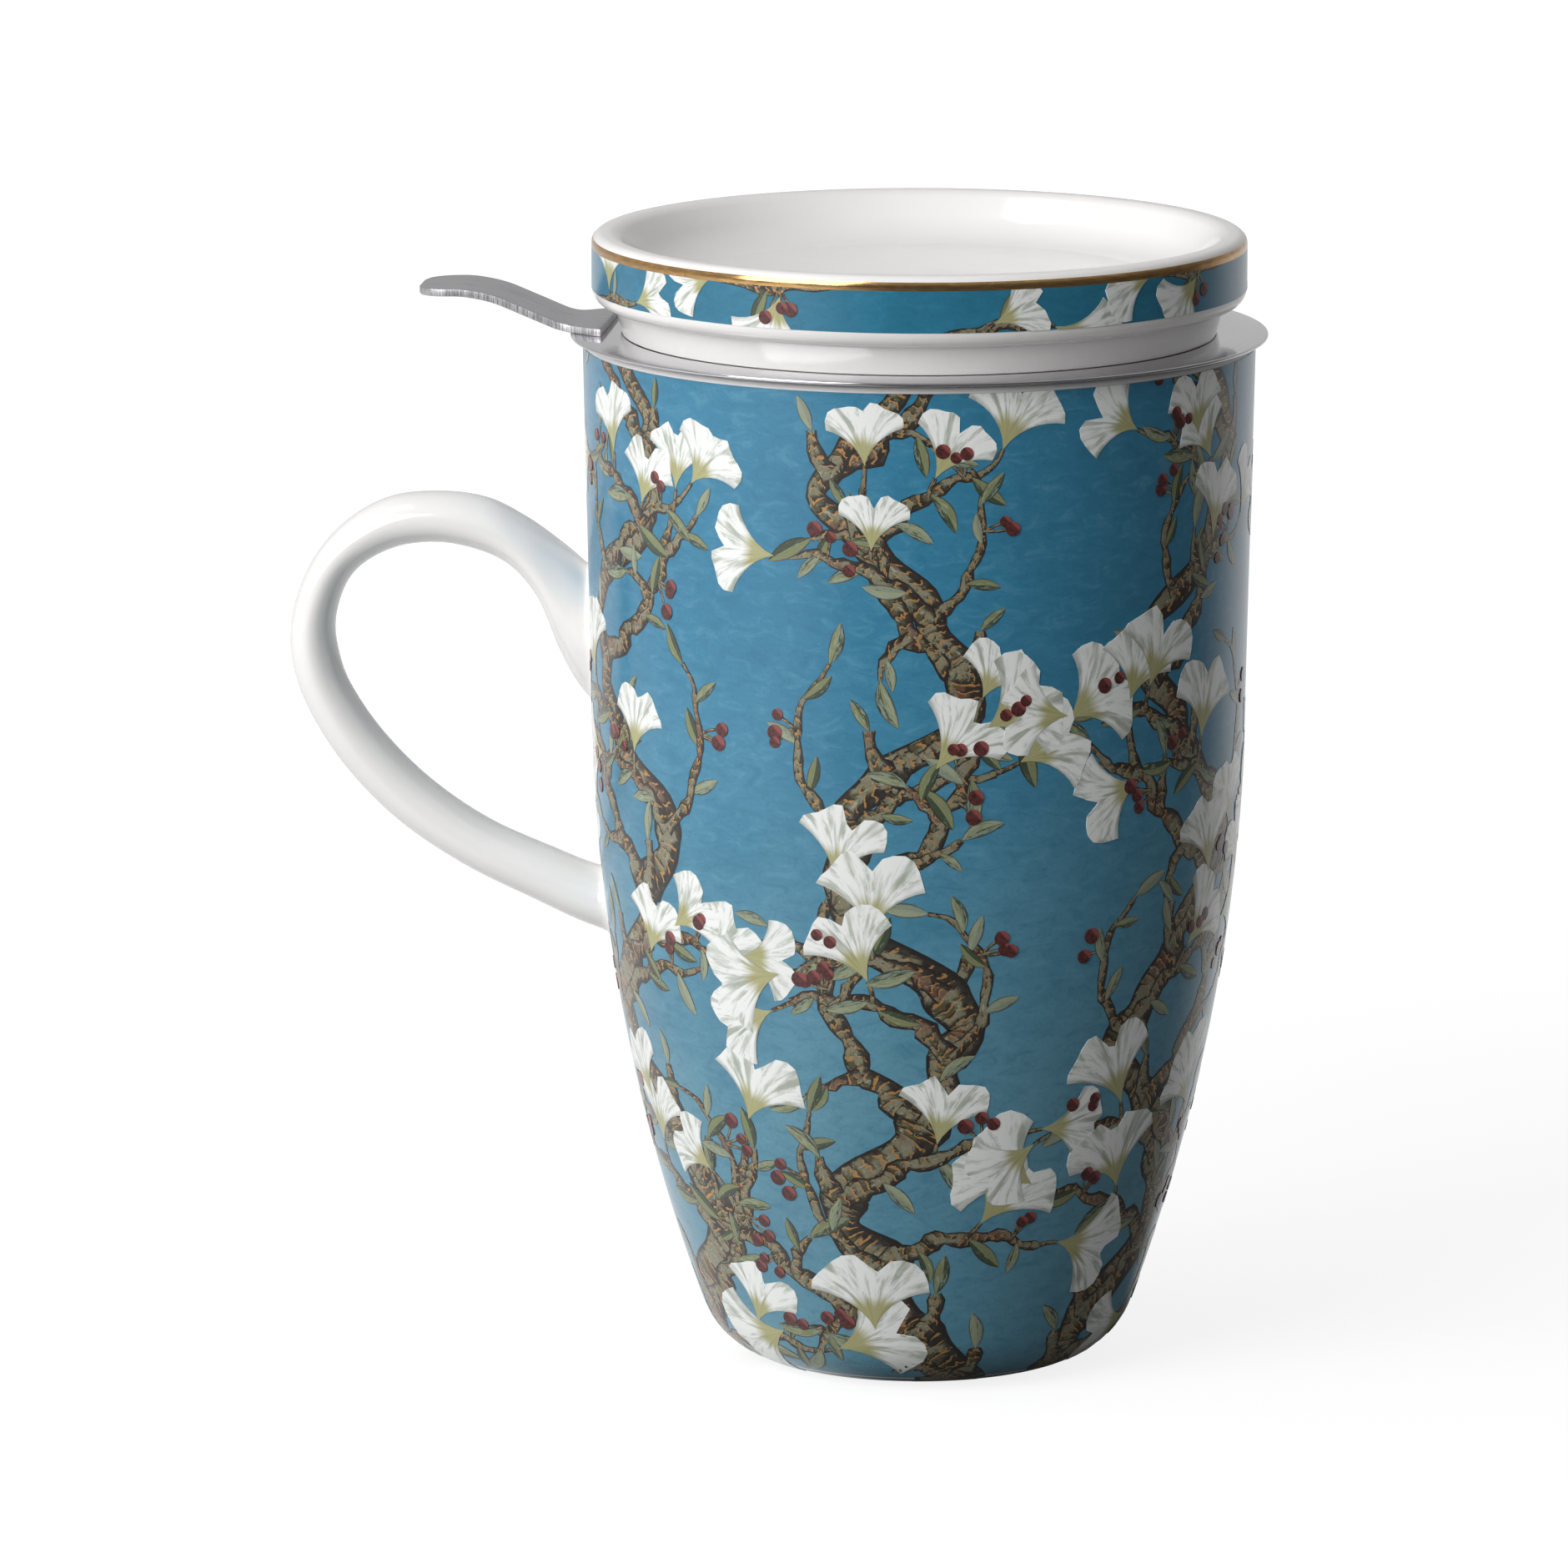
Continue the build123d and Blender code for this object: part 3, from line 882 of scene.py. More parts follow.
class Drawing:
    """Motifs drawn flat in millimetres, x along the wall and y down it, lift as z."""

    def __init__(self, surface, window, seed):
        self.surface = surface
        self.window = window            # left, right, top and bottom edge of the film
        self.random = random.Random(seed)
        self.pick = self.random.uniform
        self.sheets = {}
        self.count = 0
        self.leaves = []                # centre and layer of each fan leaf so far

    def sheet(self, name):
        if name not in self.sheets:
            bm = bmesh.new()
            bm.loops.layers.uv.new("drawing")
            bm.verts.layers.float.new("tone")
            self.sheets[name] = bm
        return self.sheets[name]

    def patch(self, name, columns, rows, shape, lift, unit=1.0, stagger=STAGGER):
        """A grid bent by shape(along, across) into flat x and y; unit scales along."""
        bm = self.sheet(name)
        uv_layer = bm.loops.layers.uv["drawing"]
        tone_layer = bm.verts.layers.float["tone"]
        tone = self.random.random()
        made = bmesh.ops.create_grid(bm, x_segments=columns, y_segments=rows, size=0.5)
        verts = made["verts"]
        self.count += 1
        height = lift + self.count % 5 * stagger
        for face in {face for vert in verts for face in vert.link_faces}:
            for loop in face.loops:
                spot = loop.vert.co
                loop[uv_layer].uv = ((spot.x + 0.5) * unit, spot.y + 0.5)
        for vert in verts:
            vert[tone_layer] = tone
            vert.co = (*shape(vert.co.x + 0.5, vert.co.y + 0.5), height)

    def fan(self, twig, size):
        """Fan leaf at a twig's tip: hollow sides, a wavy edge and a notch in it."""
        (x, y), heading = twig.at(1.0), twig.heading(1.0)
        spread = self.surface.spread(y)
        half = math.radians(self.pick(44, 56))
        notch, split = self.pick(0.16, 0.34), self.pick(-0.12, 0.12)
        lobe, phase = self.pick(0.03, 0.06), self.pick(0, FULL_TURN)

        def shape(along, across):
            side = across * 2 - 1
            angle = heading + side * half * (0.30 + 0.70 * along ** 0.8)
            edge = 1 - notch * math.exp(-((side - split) / 0.13) ** 2) - 0.16 * side ** 4
            edge += lobe * math.sin(side * 8 + phase)
            reach = size * along * (1 + (edge - 1) * along)
            return (x + math.sin(angle) * reach * spread, y - math.cos(angle) * reach)

        centre = (x + math.sin(heading) * size * 0.6, y - math.cos(heading) * size * 0.6)
        near = {layer for spot, layer in self.leaves if math.dist(spot, centre) < size * 1.5}
        layer = min(set(range(len(near) + 1)) - near)
        self.leaves.append((centre, layer))
        self.patch("fan", 7, 14, shape, FAN_LIFT + layer * FAN_LAYER, stagger=0.0)

    def sprig(self, twig, t, turned, size):
        """Narrow leaf with its foot on a twig."""
        (x, y), heading = twig.at(t), twig.heading(t) + turned
        spread = self.surface.spread(y)
        bend = self.pick(-0.35, 0.35)

        def shape(along, across):
            angle = heading + bend * along
            width = size * 0.34 * math.sin(math.pi * min(along * 0.97 + 0.015, 1)) ** 0.8
            out = (across - 0.5) * width
            dx = math.sin(angle) * size * along + math.cos(angle) * out
            dy = -math.cos(angle) * size * along + math.sin(angle) * out
            return (x + dx * spread, y + dy)

        self.patch("sprig", 8, 3, shape, SPRIG_LIFT)

    def berry(self, x, y, radius):
        """Round berry; the square grid is drawn out to a disc."""
        spread = self.surface.spread(y)

        def shape(along, across):
            u, v = along * 2 - 1, across * 2 - 1
            dx = u * math.sqrt(1 - v * v / 2) * radius
            dy = v * math.sqrt(1 - u * u / 2) * radius
            return (x + dx * spread, y + dy)

        self.patch("berry", 4, 4, shape, BERRY_LIFT)

    def stroke(self, path, width, lift, rows):
        """Ribbon along path(t), t from 0 to 1, as wide as width(t)."""
        start = [path(k / 60) for k in range(61)]
        run = sum(math.dist(a, b) for a, b in zip(start, start[1:]))

        def shape(along, across):
            here = path(along)
            ahead = path(min(along + 0.004, 1.0))
            behind = path(max(along - 0.004, 0.0))
            spread = self.surface.spread(here[1])
            tx, ty = (ahead[0] - behind[0]) / spread, ahead[1] - behind[1]
            size = math.hypot(tx, ty)
            out = (across - 0.5) * width(along)
            return (here[0] - ty / size * out * spread, here[1] + tx / size * out)

        columns = max(4, math.ceil(run / STROKE_STEP))
        self.patch("stem", columns, rows, shape, lift, unit=run)

    def shoot(self, x, y, heading, run, curl, widths, share, lift=TWIG_LIFT, rows=4, **bends):
        """A shoot that thins out from its first width to its last and swells at its knots."""
        twig = Twig(self.surface, x, y, heading, run, curl, **bends)
        knots = self.pick(0, FULL_TURN)
        first, last = widths

        def width(t):
            knot = 1 + 0.20 * math.sin(t * 31 + knots) + 0.14 * math.sin(t * 53 + 2 * knots)
            return (first + (last - first) * t) * share * knot

        self.stroke(twig.at, width, lift, rows)
        return twig

    def stalk(self, twig, t, turned, run, curl, width, taper=0.0):
        """A thin bent stalk from a twig, which loses taper of its width towards its tip."""
        made = Twig(self.surface, *twig.at(t), twig.heading(t) + turned, run, curl, count=3)
        self.stroke(made.at, lambda t: width - taper * t, TWIG_LIFT, 1)
        return made

    def leaf_on_stalk(self, twig, t, turned, run, size):
        """Fan leaf at the end of a stalk from a twig."""
        self.fan(self.stalk(twig, t, turned, run, self.pick(-0.5, 0.5), 0.75, 0.2), size)

    def berries(self, twig, t, side, size):
        """Two or three berries on thin stalks."""
        for index in range(self.random.choice((2, 3))):
            stalk = self.stalk(twig, t, side * (1.1 + 0.5 * index), self.pick(2.6, 4.4),
                               self.pick(-0.6, 0.6), 0.42)
            self.berry(*stalk.at(1.0), size.berry * self.pick(0.8, 1.15))

    def finish(self, prefix, body, slot):
        """Trims the motifs to the film, gives them their thickness and wraps them on."""
        left, right, top, bottom = self.window
        sink = sizes("print").sink
        for name, bm in self.sheets.items():
            for spot, normal in (((left, 0, 0), (-1, 0, 0)), ((right, 0, 0), (1, 0, 0)),
                                 ((0, top, 0), (0, -1, 0)), ((0, bottom, 0), (0, 1, 0))):
                bmesh.ops.bisect_plane(bm, geom=everything(bm), plane_co=spot,
                                       plane_no=normal, clear_outer=True, dist=TRIM_DISTANCE)
            made = bmesh.ops.extrude_face_region(bm, geom=bm.faces[:], use_keep_orig=True)
            below = [v for v in made["geom"] if isinstance(v, bmesh.types.BMVert)]
            bmesh.ops.translate(bm, vec=(0, 0, -sink), verts=below)
            for vert in bm.verts:
                vert.co = self.surface.wrap(*vert.co)
            bmesh.ops.recalc_face_normals(bm, faces=bm.faces)
            finish_piece(bm, f"{prefix}_{name}", body, [], [name], 60)


class Twig:
    """A line of growth over the wall that turns evenly by curl from its first heading."""

    def __init__(self, surface, x, y, heading, run, curl, count=8, wobble=0.0):
        self.points = [(x, y)]
        self.headings = [heading]
        for k in range(count):
            here = heading + curl * (k + 0.5) / count + wobble * math.sin(2.4 * k)
            x += math.sin(here) * run / count * surface.spread(y)
            y -= math.cos(here) * run / count
            self.points.append((x, y))
            self.headings.append(here + curl / count / 2)

    def at(self, t):
        t *= len(self.points) - 1
        return tuple(blend(column, t) for column in zip(*self.points))

    def heading(self, t):
        return blend(self.headings, t * (len(self.points) - 1))


def vine_pattern(drawing, centre, phase, foot, top, size):
    """One climbing vine: a gnarled waving stem that sends its shoots into the wide gaps."""
    pick = drawing.pick
    height = foot - top
    knots, drift = pick(0, FULL_TURN), pick(0, FULL_TURN)
    shoots = round(height / size.wave * 5)
    starts = [(index + 0.5 + pick(-0.2, 0.2)) / shoots for index in range(shoots)]

    def turn_at(y):
        return FULL_TURN * y / size.wave + phase

    def stem(t):
        y = foot - height * t
        wander = 2.2 * math.sin(FULL_TURN * y / 19 + drift) * (1 - 0.4 * t)
        kink = math.sin(FULL_TURN * y / 8.3 + 3 * drift) * smooth(0.0, 0.3, t) * 0.7
        return (centre + size.sway * math.sin(turn_at(y)) + wander + kink, y)

    def stem_width(t):
        knot = 1 + 0.16 * math.sin(t * 47 + knots) + 0.12 * math.sin(t * 83 + 2 * knots)
        knot += sum(0.45 * math.exp(-((t - start) / 0.013) ** 2) for start in starts)
        return size.stem * (1 - 0.62 * t) * knot

    drawing.stroke(stem, stem_width, STEM_LIFT, 6)
    for index, t in enumerate(starts):
        x, y = stem(t)
        side = -1 if math.sin(turn_at(y)) > 0 else 1
        share = 1 - 0.22 * t
        for grow, way in zip(SHOOTS[index % len(SHOOTS)], (side, -side)):
            grow(drawing, x, y, way, size, share)


def runner(drawing, x, y, side, size, share):
    """A long crooked branch across the gap, forked, with a leaf or two near its ends."""
    pick = drawing.pick
    twig = drawing.shoot(x, y, side * pick(0.9, 1.3), size.twig * share * pick(1.3, 1.6),
                         -side * pick(0.5, 1.2), (4.2, 1.3), share, BRANCH_LIFT, 5,
                         count=10, wobble=0.42)
    for t, turned in ((0.30, 0.9), (0.55, -1.0), (0.78, 0.8)):
        fork = drawing.shoot(*twig.at(t), twig.heading(t) + side * turned,
                             size.twig * share * pick(0.28, 0.44), side * pick(-1.2, 1.2),
                             (2.4, 0.9), share, count=6, wobble=0.3)
        drawing.sprig(fork, 1.0, 0.0, size.sprig * pick(0.6, 1.0))
        drawing.sprig(fork, 0.6, side * 0.9, size.sprig * pick(0.5, 0.8))
    drawing.leaf_on_stalk(twig, 1.0, 0.0, size.stalk * share,
                          size.fan * share * pick(0.7, 0.95))
    drawing.berries(twig, 0.66, side, size)


def spray(drawing, x, y, side, size, share):
    """A side shoot that arches over, with fan leaves and narrow leaves on alternate sides."""
    pick = drawing.pick
    twig = drawing.shoot(x, y, side * pick(0.5, 0.9), size.twig * share * pick(0.85, 1.1),
                         side * pick(0.5, 1.3), (3.4, 1.1), share, wobble=0.34)
    for t, turned in ((0.52, -0.95), (1.0, -0.25)):
        drawing.leaf_on_stalk(twig, t, side * (turned + pick(-0.2, 0.2)),
                              size.stalk * share * pick(0.7, 1.2),
                              size.fan * share * pick(0.78, 1.08))
    for t, turned in ((0.24, 0.9), (0.55, 0.8), (0.85, 0.9)):
        drawing.sprig(twig, t, side * (turned + pick(-0.3, 0.3)), size.sprig * pick(0.6, 1.0))
    drawing.berries(twig, 0.8, -side, size)


def tendril(drawing, x, y, side, size, share):
    """A long thin runner that curls in on itself, with a few narrow leaves."""
    pick = drawing.pick
    twig = drawing.shoot(x, y, side * pick(0.7, 1.2), size.twig * pick(0.9, 1.25) * share,
                         -side * pick(1.2, 2.4), (2.1, 0.7), share, wobble=0.2)
    for t, turned in ((0.30, 0.8), (0.55, -0.9), (0.78, 0.8), (1.0, 0.0)):
        drawing.sprig(twig, t, turned + pick(-0.3, 0.3), size.sprig * pick(0.55, 0.85))
    drawing.berries(twig, 0.62, side, size)


def short_spur(drawing, x, y, side, size, share):
    """A stubby knotted spur with a narrow leaf."""
    pick = drawing.pick
    twig = drawing.shoot(x, y, side * pick(0.6, 1.0), 7.5 * share, -side * 0.9, (3.6, 1.6),
                         share, BRANCH_LIFT, count=4)
    drawing.sprig(twig, 1.0, side * pick(0.2, 0.9), size.sprig * share * pick(0.7, 0.9))


# What grows from each third fork of a vine: into the wide gap, and on the other side.
SHOOTS = ((spray, short_spur), (runner, short_spur), (spray, tendril))


def make_mug_motifs():
    """Vines round the mug, each next one half a turn further on."""
    mug, printed = sizes("mug"), sizes("print")
    wall = Wall(mug)
    depths = film_depths(wall, printed)
    half_gap = printed.gap / 2 * mug.rim_radius / mug.shoulder_radius
    quarter = math.pi / 2 * mug.rim_radius
    left, right = -quarter + half_gap, 3 * quarter - half_gap
    drawing = Drawing(wall, (left, right, depths[0], depths[-1]), seed=7)
    vines = bpy.context.scene.tea_counts.vines
    for index in range(vines):
        centre = left + (right - left) * (index + 0.5) / vines
        vine_pattern(drawing, centre, math.pi * (index % 2), depths[-1] + 2, depths[0] - 6,
                     printed)
    drawing.finish("mug", "mug", "mug_print")


# --- infuser -------------------------------------------------------------------------------

def make_infuser_rim():
    """Flat steel rim with a rolled edge and a collar turned down inside the mug."""
    mug, steel = sizes("mug"), sizes("infuser")
    inside, outside = steel.collar_radius - steel.rim_sheet, steel.collar_radius
    bottom, seat = mug.height - steel.collar_height, mug.height
    top = seat + steel.rim_sheet
    bm = bmesh.new()
    verts = wire(bm, [(inside, bottom), (outside, bottom), (outside, seat),
                      (mug.rim_radius - 0.5, seat),
                      (steel.rim_radius, seat + steel.rim_thinning),
                      (steel.rim_radius, top), (inside, top)], closed=True)
    for corner, rounding, segments in (
            (2, steel.collar_bend, 6), (6, steel.collar_bend + steel.rim_sheet, 8),
            (4, steel.rim_edge, 3), (5, steel.rim_edge, 3)):
        soften(bm, verts[corner], rounding, segments)
    turn(bm)
    finish_piece(bm, "steel_rim", "infuser", ["infuser_rim"],
                 ["rim_steel"], 40)


def perforated(columns, rows, height, hole, plain_rows=()):
    """A flat sheet of cells one wide, with an eight-cornered hole in all but plain rows."""
    bm = bmesh.new()
    bmesh.ops.create_grid(bm, x_segments=columns, y_segments=rows, size=0.5)
    bmesh.ops.scale(bm, vec=(columns, height, 1), verts=bm.verts)
    pitch = height / rows
    cells = [face for face in bm.faces
             if int((face.calc_center_median().y + height / 2) / pitch) not in plain_rows]
    margin = (min(pitch, 1.0) - hole * 0.8) / 2
    bmesh.ops.inset_individual(bm, faces=cells, thickness=margin, use_even_offset=True)
    edges = list({edge for face in cells for edge in face.edges})
    bmesh.ops.subdivide_edges(bm, edges=edges, cuts=1)
    for face in cells:
        middle = face.calc_center_bounds()
        for vert in face.verts:
            vert.co = middle + (vert.co - middle).normalized() * hole / 2
    bmesh.ops.delete(bm, geom=cells, context="FACES_ONLY")
    return bm


def roll(bm, columns, place, sheet):
    """Rolls a perforated sheet up to place(y), a radius and a height, and thickens it.

    Points on a cell's border stay on it, and all others keep their distance from the
    nearest half cell. A hole as wide as its cell is drawn out to the border by this, and
    touches the next hole there.
    """
    for vert in bm.verts:
        x = vert.co.x
        radius, height = place(vert.co.y)
        spoke = round(x * 2) / 2
        angle = FULL_TURN * spoke / columns + (x - spoke) / radius
        if abs(x - round(x)) < WELD_DISTANCE:
            angle = FULL_TURN * x / columns
        vert.co = polar(radius, angle, height)
    weld(bm)
    bmesh.ops.solidify(bm, geom=bm.faces[:], thickness=sheet)


def make_basket_wall():
    """Rolled sheet with fine holes: plain where it sits in the collar, then tapering."""
    steel = sizes("infuser")
    columns = bpy.context.scene.tea_counts.basket_columns
    top_radius = steel.collar_radius - steel.rim_sheet
    top, bottom = sizes("mug").height - steel.collar_bend, steel.floor_height
    rows = round((top - bottom) / steel.hole_pitch)
    plain_top = math.ceil((top - steel.straight_bottom) / steel.hole_pitch) + 1
    bm = perforated(columns, rows, top - bottom, steel.hole,
                    {0, *range(rows - plain_top, rows)})

    def place(y):
        height = (top + bottom) / 2 + y
        run = min((height - bottom) / (steel.straight_bottom - bottom), 1.0)
        return steel.floor_radius + (top_radius - steel.floor_radius) * run, height

    roll(bm, columns, place, steel.basket_sheet)
    finish_piece(bm, "perforated_basket_wall", "infuser", ["infuser_wall"],
                 ["basket_steel"])


FLOOR_LIP = 3.0                 # height of the floor's turned up edge
FLOOR_LEAN = 0.3                # how far that edge leans outwards
FLOOR_BEND = 1.2                # outside radius of the bend into it
FLOOR_BANDS = ((4.0, 15.0, 30, 5), (15.0, 27.0, 72, 6))   # inner, outer, columns, rows


def make_basket_floor():
    """Dished disc: two bands of fine holes between plain rings, its edge turned up."""
    steel = sizes("infuser")
    sheet, level = steel.basket_sheet, steel.floor_height
    foot, lip_top = steel.floor_radius - sheet, level + FLOOR_LIP
    first, last = FLOOR_BANDS[0][0], FLOOR_BANDS[-1][1]
    bm = bmesh.new()
    wire(bm, [(0, level), (first, level), (first, level + sheet), (0, level + sheet)])
    verts = wire(bm, [(last, level), (foot, level), (foot + FLOOR_LEAN, lip_top),
                      (foot + FLOOR_LEAN - sheet, lip_top), (foot - sheet, level + sheet),
                      (last, level + sheet)], closed=True)
    soften(bm, verts[1], FLOOR_BEND)
    soften(bm, verts[4], FLOOR_BEND - sheet)
    turn(bm, coarser=2)
    for inner, outer, columns, rows in FLOOR_BANDS:
        band = perforated(columns, rows, outer - inner, steel.hole)
        roll(band, columns, lambda y: ((inner + outer) / 2 + y, level + sheet), sheet)
        holder = bpy.data.meshes.new("floor_band")
        band.to_mesh(holder)
        band.free()
        bm.from_mesh(holder)
        bpy.data.meshes.remove(holder)
    finish_piece(bm, "perforated_basket_floor", "infuser",
                 ["infuser_floor"], ["basket_steel"])


TAB_STEP = 0.5
TAB_ROWS = 16
UPRIGHT = 0.55                  # rise of a normal under which a face is a cut edge


def tab_line(steel, seat):
    """Points of the tab's underside from root to tip, as reach and height."""
    bm = bmesh.new()
    verts = wire(bm, [(steel.tab_root_reach, seat), (steel.tab_bend_reach, seat),
                      (steel.tab_crest_reach, seat + steel.tab_rise),
                      (steel.tab_tip_reach, seat + steel.tab_tip_rise)])
    soften(bm, verts[1], 8.0, 8)
    soften(bm, verts[2], 16.0, 10)
    spots = sorted((v.co.x, v.co.z) for v in bm.verts)
    bm.free()
    line = []
    for (x0, z0), (x1, z1) in zip(spots, spots[1:]):
        count = max(1, round((x1 - x0) / TAB_STEP))
        line += [(x0 + (x1 - x0) * k / count, z0 + (z1 - z0) * k / count)
                 for k in range(count)]
    return line + [spots[-1]]


def make_infuser_tab():
    """Strip of sheared steel: fan-shaped root on the rim, rising shank, rounded tip."""
    steel = sizes("infuser")
    half, root_half = steel.tab_width / 2, steel.tab_root_width / 2
    corner = steel.tab_corner

    def half_width(reach):
        flare = 1 - smooth(steel.tab_root_reach - 0.5,
                           steel.tab_root_reach + steel.tab_flare + 1.5, reach)
        width = half + (root_half - half) * flare
        into = reach - (steel.tab_tip_reach - corner)
        if into > 0:
            width -= corner - math.sqrt(max(corner ** 2 - into ** 2, 0.0))
        return width

    line = tab_line(steel, sizes("mug").height + steel.rim_sheet)
    bm = bmesh.new()
    bend_grid(bm, [[(-reach, (side / TAB_ROWS * 2 - 1) * half_width(reach), height)
                    for reach, height in line] for side in range(TAB_ROWS + 1)])
    bmesh.ops.recalc_face_normals(bm, faces=bm.faces)
    if sum(face.normal.z for face in bm.faces) > 0:
        bmesh.ops.reverse_faces(bm, faces=bm.faces)
    bmesh.ops.solidify(bm, geom=bm.faces[:], thickness=steel.tab_sheet)
    weld(bm)
    edges = [e for e in bm.edges if e.is_manifold and e.calc_face_angle() > 1.0]
    bmesh.ops.bevel(bm, geom=edges, offset=steel.tab_edge, offset_type="OFFSET", segments=2,
                    profile=0.5, affect="EDGES", material=-1)
    bmesh.ops.recalc_face_normals(bm, faces=bm.faces)
    for face in bm.faces:
        if abs(face.normal.z) < UPRIGHT:
            face.material_index = 1
    finish_piece(bm, "steel_tab", "infuser", ["infuser_tab"],
                 ["tab_steel", "sheared"], 40)


# --- lid -----------------------------------------------------------------------------------

def make_lid_body():
    """Porcelain lid: locating ring, leaning neck, banded wall and a dished top."""
    lid, steel = sizes("lid"), sizes("infuser")
    seat = sizes("mug").height + steel.rim_sheet
    radius = lid.radius - sizes("print").step
    hollow, ring_foot = lid.spigot_radius - lid.spigot_wall, seat - lid.spigot_depth
    corners = [                         # radius, height and rounding
        (0, lid.ceiling, 0),
        (hollow, lid.ceiling, 2.0),
        (hollow, ring_foot, 1.0),
        (lid.spigot_radius, ring_foot, 1.0),
        (lid.spigot_radius, seat, 0),
        (lid.neck_foot_radius, seat, 0.15),
        (lid.neck_top_radius, lid.neck_top, 0.4),
        (radius, lid.neck_top, lid.print_bottom - lid.neck_top),
        (radius, lid.height, lid.edge_rounding),
        (lid.radius - lid.crest_width, lid.height, 2.4),
        (lid.dish_radius, lid.dish_floor, 9.0),
        (0, lid.dish_floor, 0),
    ]
    bm = bmesh.new()
    verts = wire(bm, [corner[:2] for corner in corners])
    for vert, (_, _, rounding) in zip(verts, corners):
        if rounding:
            soften(bm, vert, rounding, 4 + round(rounding * 1.5))
    turn(bm)
    finish_piece(bm, "porcelain_lid", "lid", ["lid_body"],
                 ["porcelain"], 30)


def lid_wall(lid, height):
    """Outside radius of the lid at a height on its wall or its rounded upper edge."""
    rise = max(height - (lid.height - lid.edge_rounding), 0.0)
    return lid.radius - lid.edge_rounding + math.sqrt(lid.edge_rounding ** 2 - rise ** 2)


RING_ROWS = 6
GARLANDS = 9


def make_ring(name, lid, depth, bottom, top, node, surface):
    """Thin closed ring let into the lid's wall, rounded where the wall is."""
    levels = [bottom + (top - bottom) * i / RING_ROWS for i in range(RING_ROWS + 1)]
    outside = [(lid_wall(lid, z), z) for z in levels]
    bm = bmesh.new()
    wire(bm, outside + [(r - depth, z) for r, z in reversed(outside)], closed=True)
    turn(bm)
    finish_piece(bm, name, "lid", [node], [surface], 40)


def make_lid_bands():
    """The printed band with its garland and the gold line over it."""
    lid, printed = sizes("lid"), sizes("print")
    depth = printed.step + printed.sink
    make_ring("lid_printed_ground", lid, depth, lid.print_bottom, lid.gold_bottom,
              "lid_print", "lid_ground")
    make_ring("lid_gold", lid, depth, lid.gold_bottom, lid.gold_top,
              "lid_gold_line", "gold")
    around = FULL_TURN * lid.radius
    tall = lid.gold_bottom - lid.print_bottom
    drawing = Drawing(Band(lid.radius, lid.gold_bottom), (-around, around, 0.0, tall), seed=11)
    for index in range(GARLANDS):
        centre = around * (index / GARLANDS - 0.5)
        garland(drawing, centre, around / GARLANDS, tall, index % 2, printed)
    drawing.finish("lid", "lid", "lid_print")


def garland(drawing, centre, run, tall, odd, size):
    """One repeat of the band: a twig across it with large leaves cut off by its edges."""
    pick = drawing.pick
    side, start, heading = (1, tall + 1.5, 1.15) if odd else (-1, -1.5, 1.9)
    twig = Twig(drawing.surface, centre - run * 0.3 * side, start, side * heading,
                run * pick(0.42, 0.6), 0.5, 5, wobble=0.25)
    drawing.stroke(twig.at, lambda t: 2.2 - 1.2 * t, STEM_LIFT, 4)
    for t, turned in ((0.45, -1.0), (0.75, 0.9), (1.0, 0.1)):
        drawing.leaf_on_stalk(twig, t, turned + pick(-0.3, 0.3), 1.6,
                              size.fan * pick(0.62, 0.85))
    for t, turned in ((0.25, 0.8), (0.6, -0.7), (0.9, 1.2)):
        drawing.sprig(twig, t, turned, size.sprig * pick(0.5, 0.8))
    drawing.berries(twig, 0.5, side, size)


# --- stage ---------------------------------------------------------------------------------

# The camera stands in front and a little to the right of the handle's plane.
CAMERA_DISTANCE = 1393.2
CAMERA_HEIGHT = 344.6
CAMERA_ASIDE = -17.7
CAMERA_PITCH = 10.9
CAMERA_SWING = 6.0
CAMERA_LENS = 246.7
FLOOR_HALF = 6000.0
FLOOR_DROP = 0.02               # the floor lies this far under the foot
LAMP_DISTANCE = 1.3             # metres
LAMP_AIM = (0, 0, 0.09)


def make_camera():
    swing = math.radians(CAMERA_SWING)
    camera = in_scene("camera", bpy.data.cameras.new("camera"))
    camera.data.lens = CAMERA_LENS
    camera.data.sensor_width = 36
    camera.data.clip_start = 0.05
    camera.data.clip_end = 50
    camera.location = Vector((
        CAMERA_ASIDE * math.cos(swing) + CAMERA_DISTANCE * math.sin(swing),
        CAMERA_ASIDE * math.sin(swing) - CAMERA_DISTANCE * math.cos(swing),
        CAMERA_HEIGHT)) * MM
    camera.rotation_euler = (math.radians(90 - CAMERA_PITCH), 0, swing)
    bpy.context.scene.camera = camera


def soft_box(name, azimuth, elevation, size, level):
    """Square lamp aimed at the mug; level is what it adds to a white face turned to it."""
    lamp = bpy.data.lights.new(name, "AREA")
    lamp.shape = "RECTANGLE"
    lamp.size = lamp.size_y = size
    lamp.energy = level * math.pi ** 2 * LAMP_DISTANCE ** 2
    box = in_scene(name, lamp)
    rise = math.radians(elevation)
    away = polar(math.cos(rise), math.radians(azimuth), math.sin(rise))
    box.location = Vector(LAMP_AIM) + away * LAMP_DISTANCE
    box.rotation_euler = (-away).to_track_quat("-Z", "Y").to_euler()
    box.visible_camera = False


class Sky(Finish):
    """The world's nodes round its one background shader."""

    def __init__(self, name):
        world = bpy.data.worlds.new(name)
        bpy.context.scene.world = world
        world.use_nodes = True
        self.material = world
        self.tree = world.node_tree
        self.shader = self.tree.nodes["Background"]


WORLD_FILL = 0.28
FLOOR_GLOW = 0.84
FLOOR_TO_CAMERA = 0.25


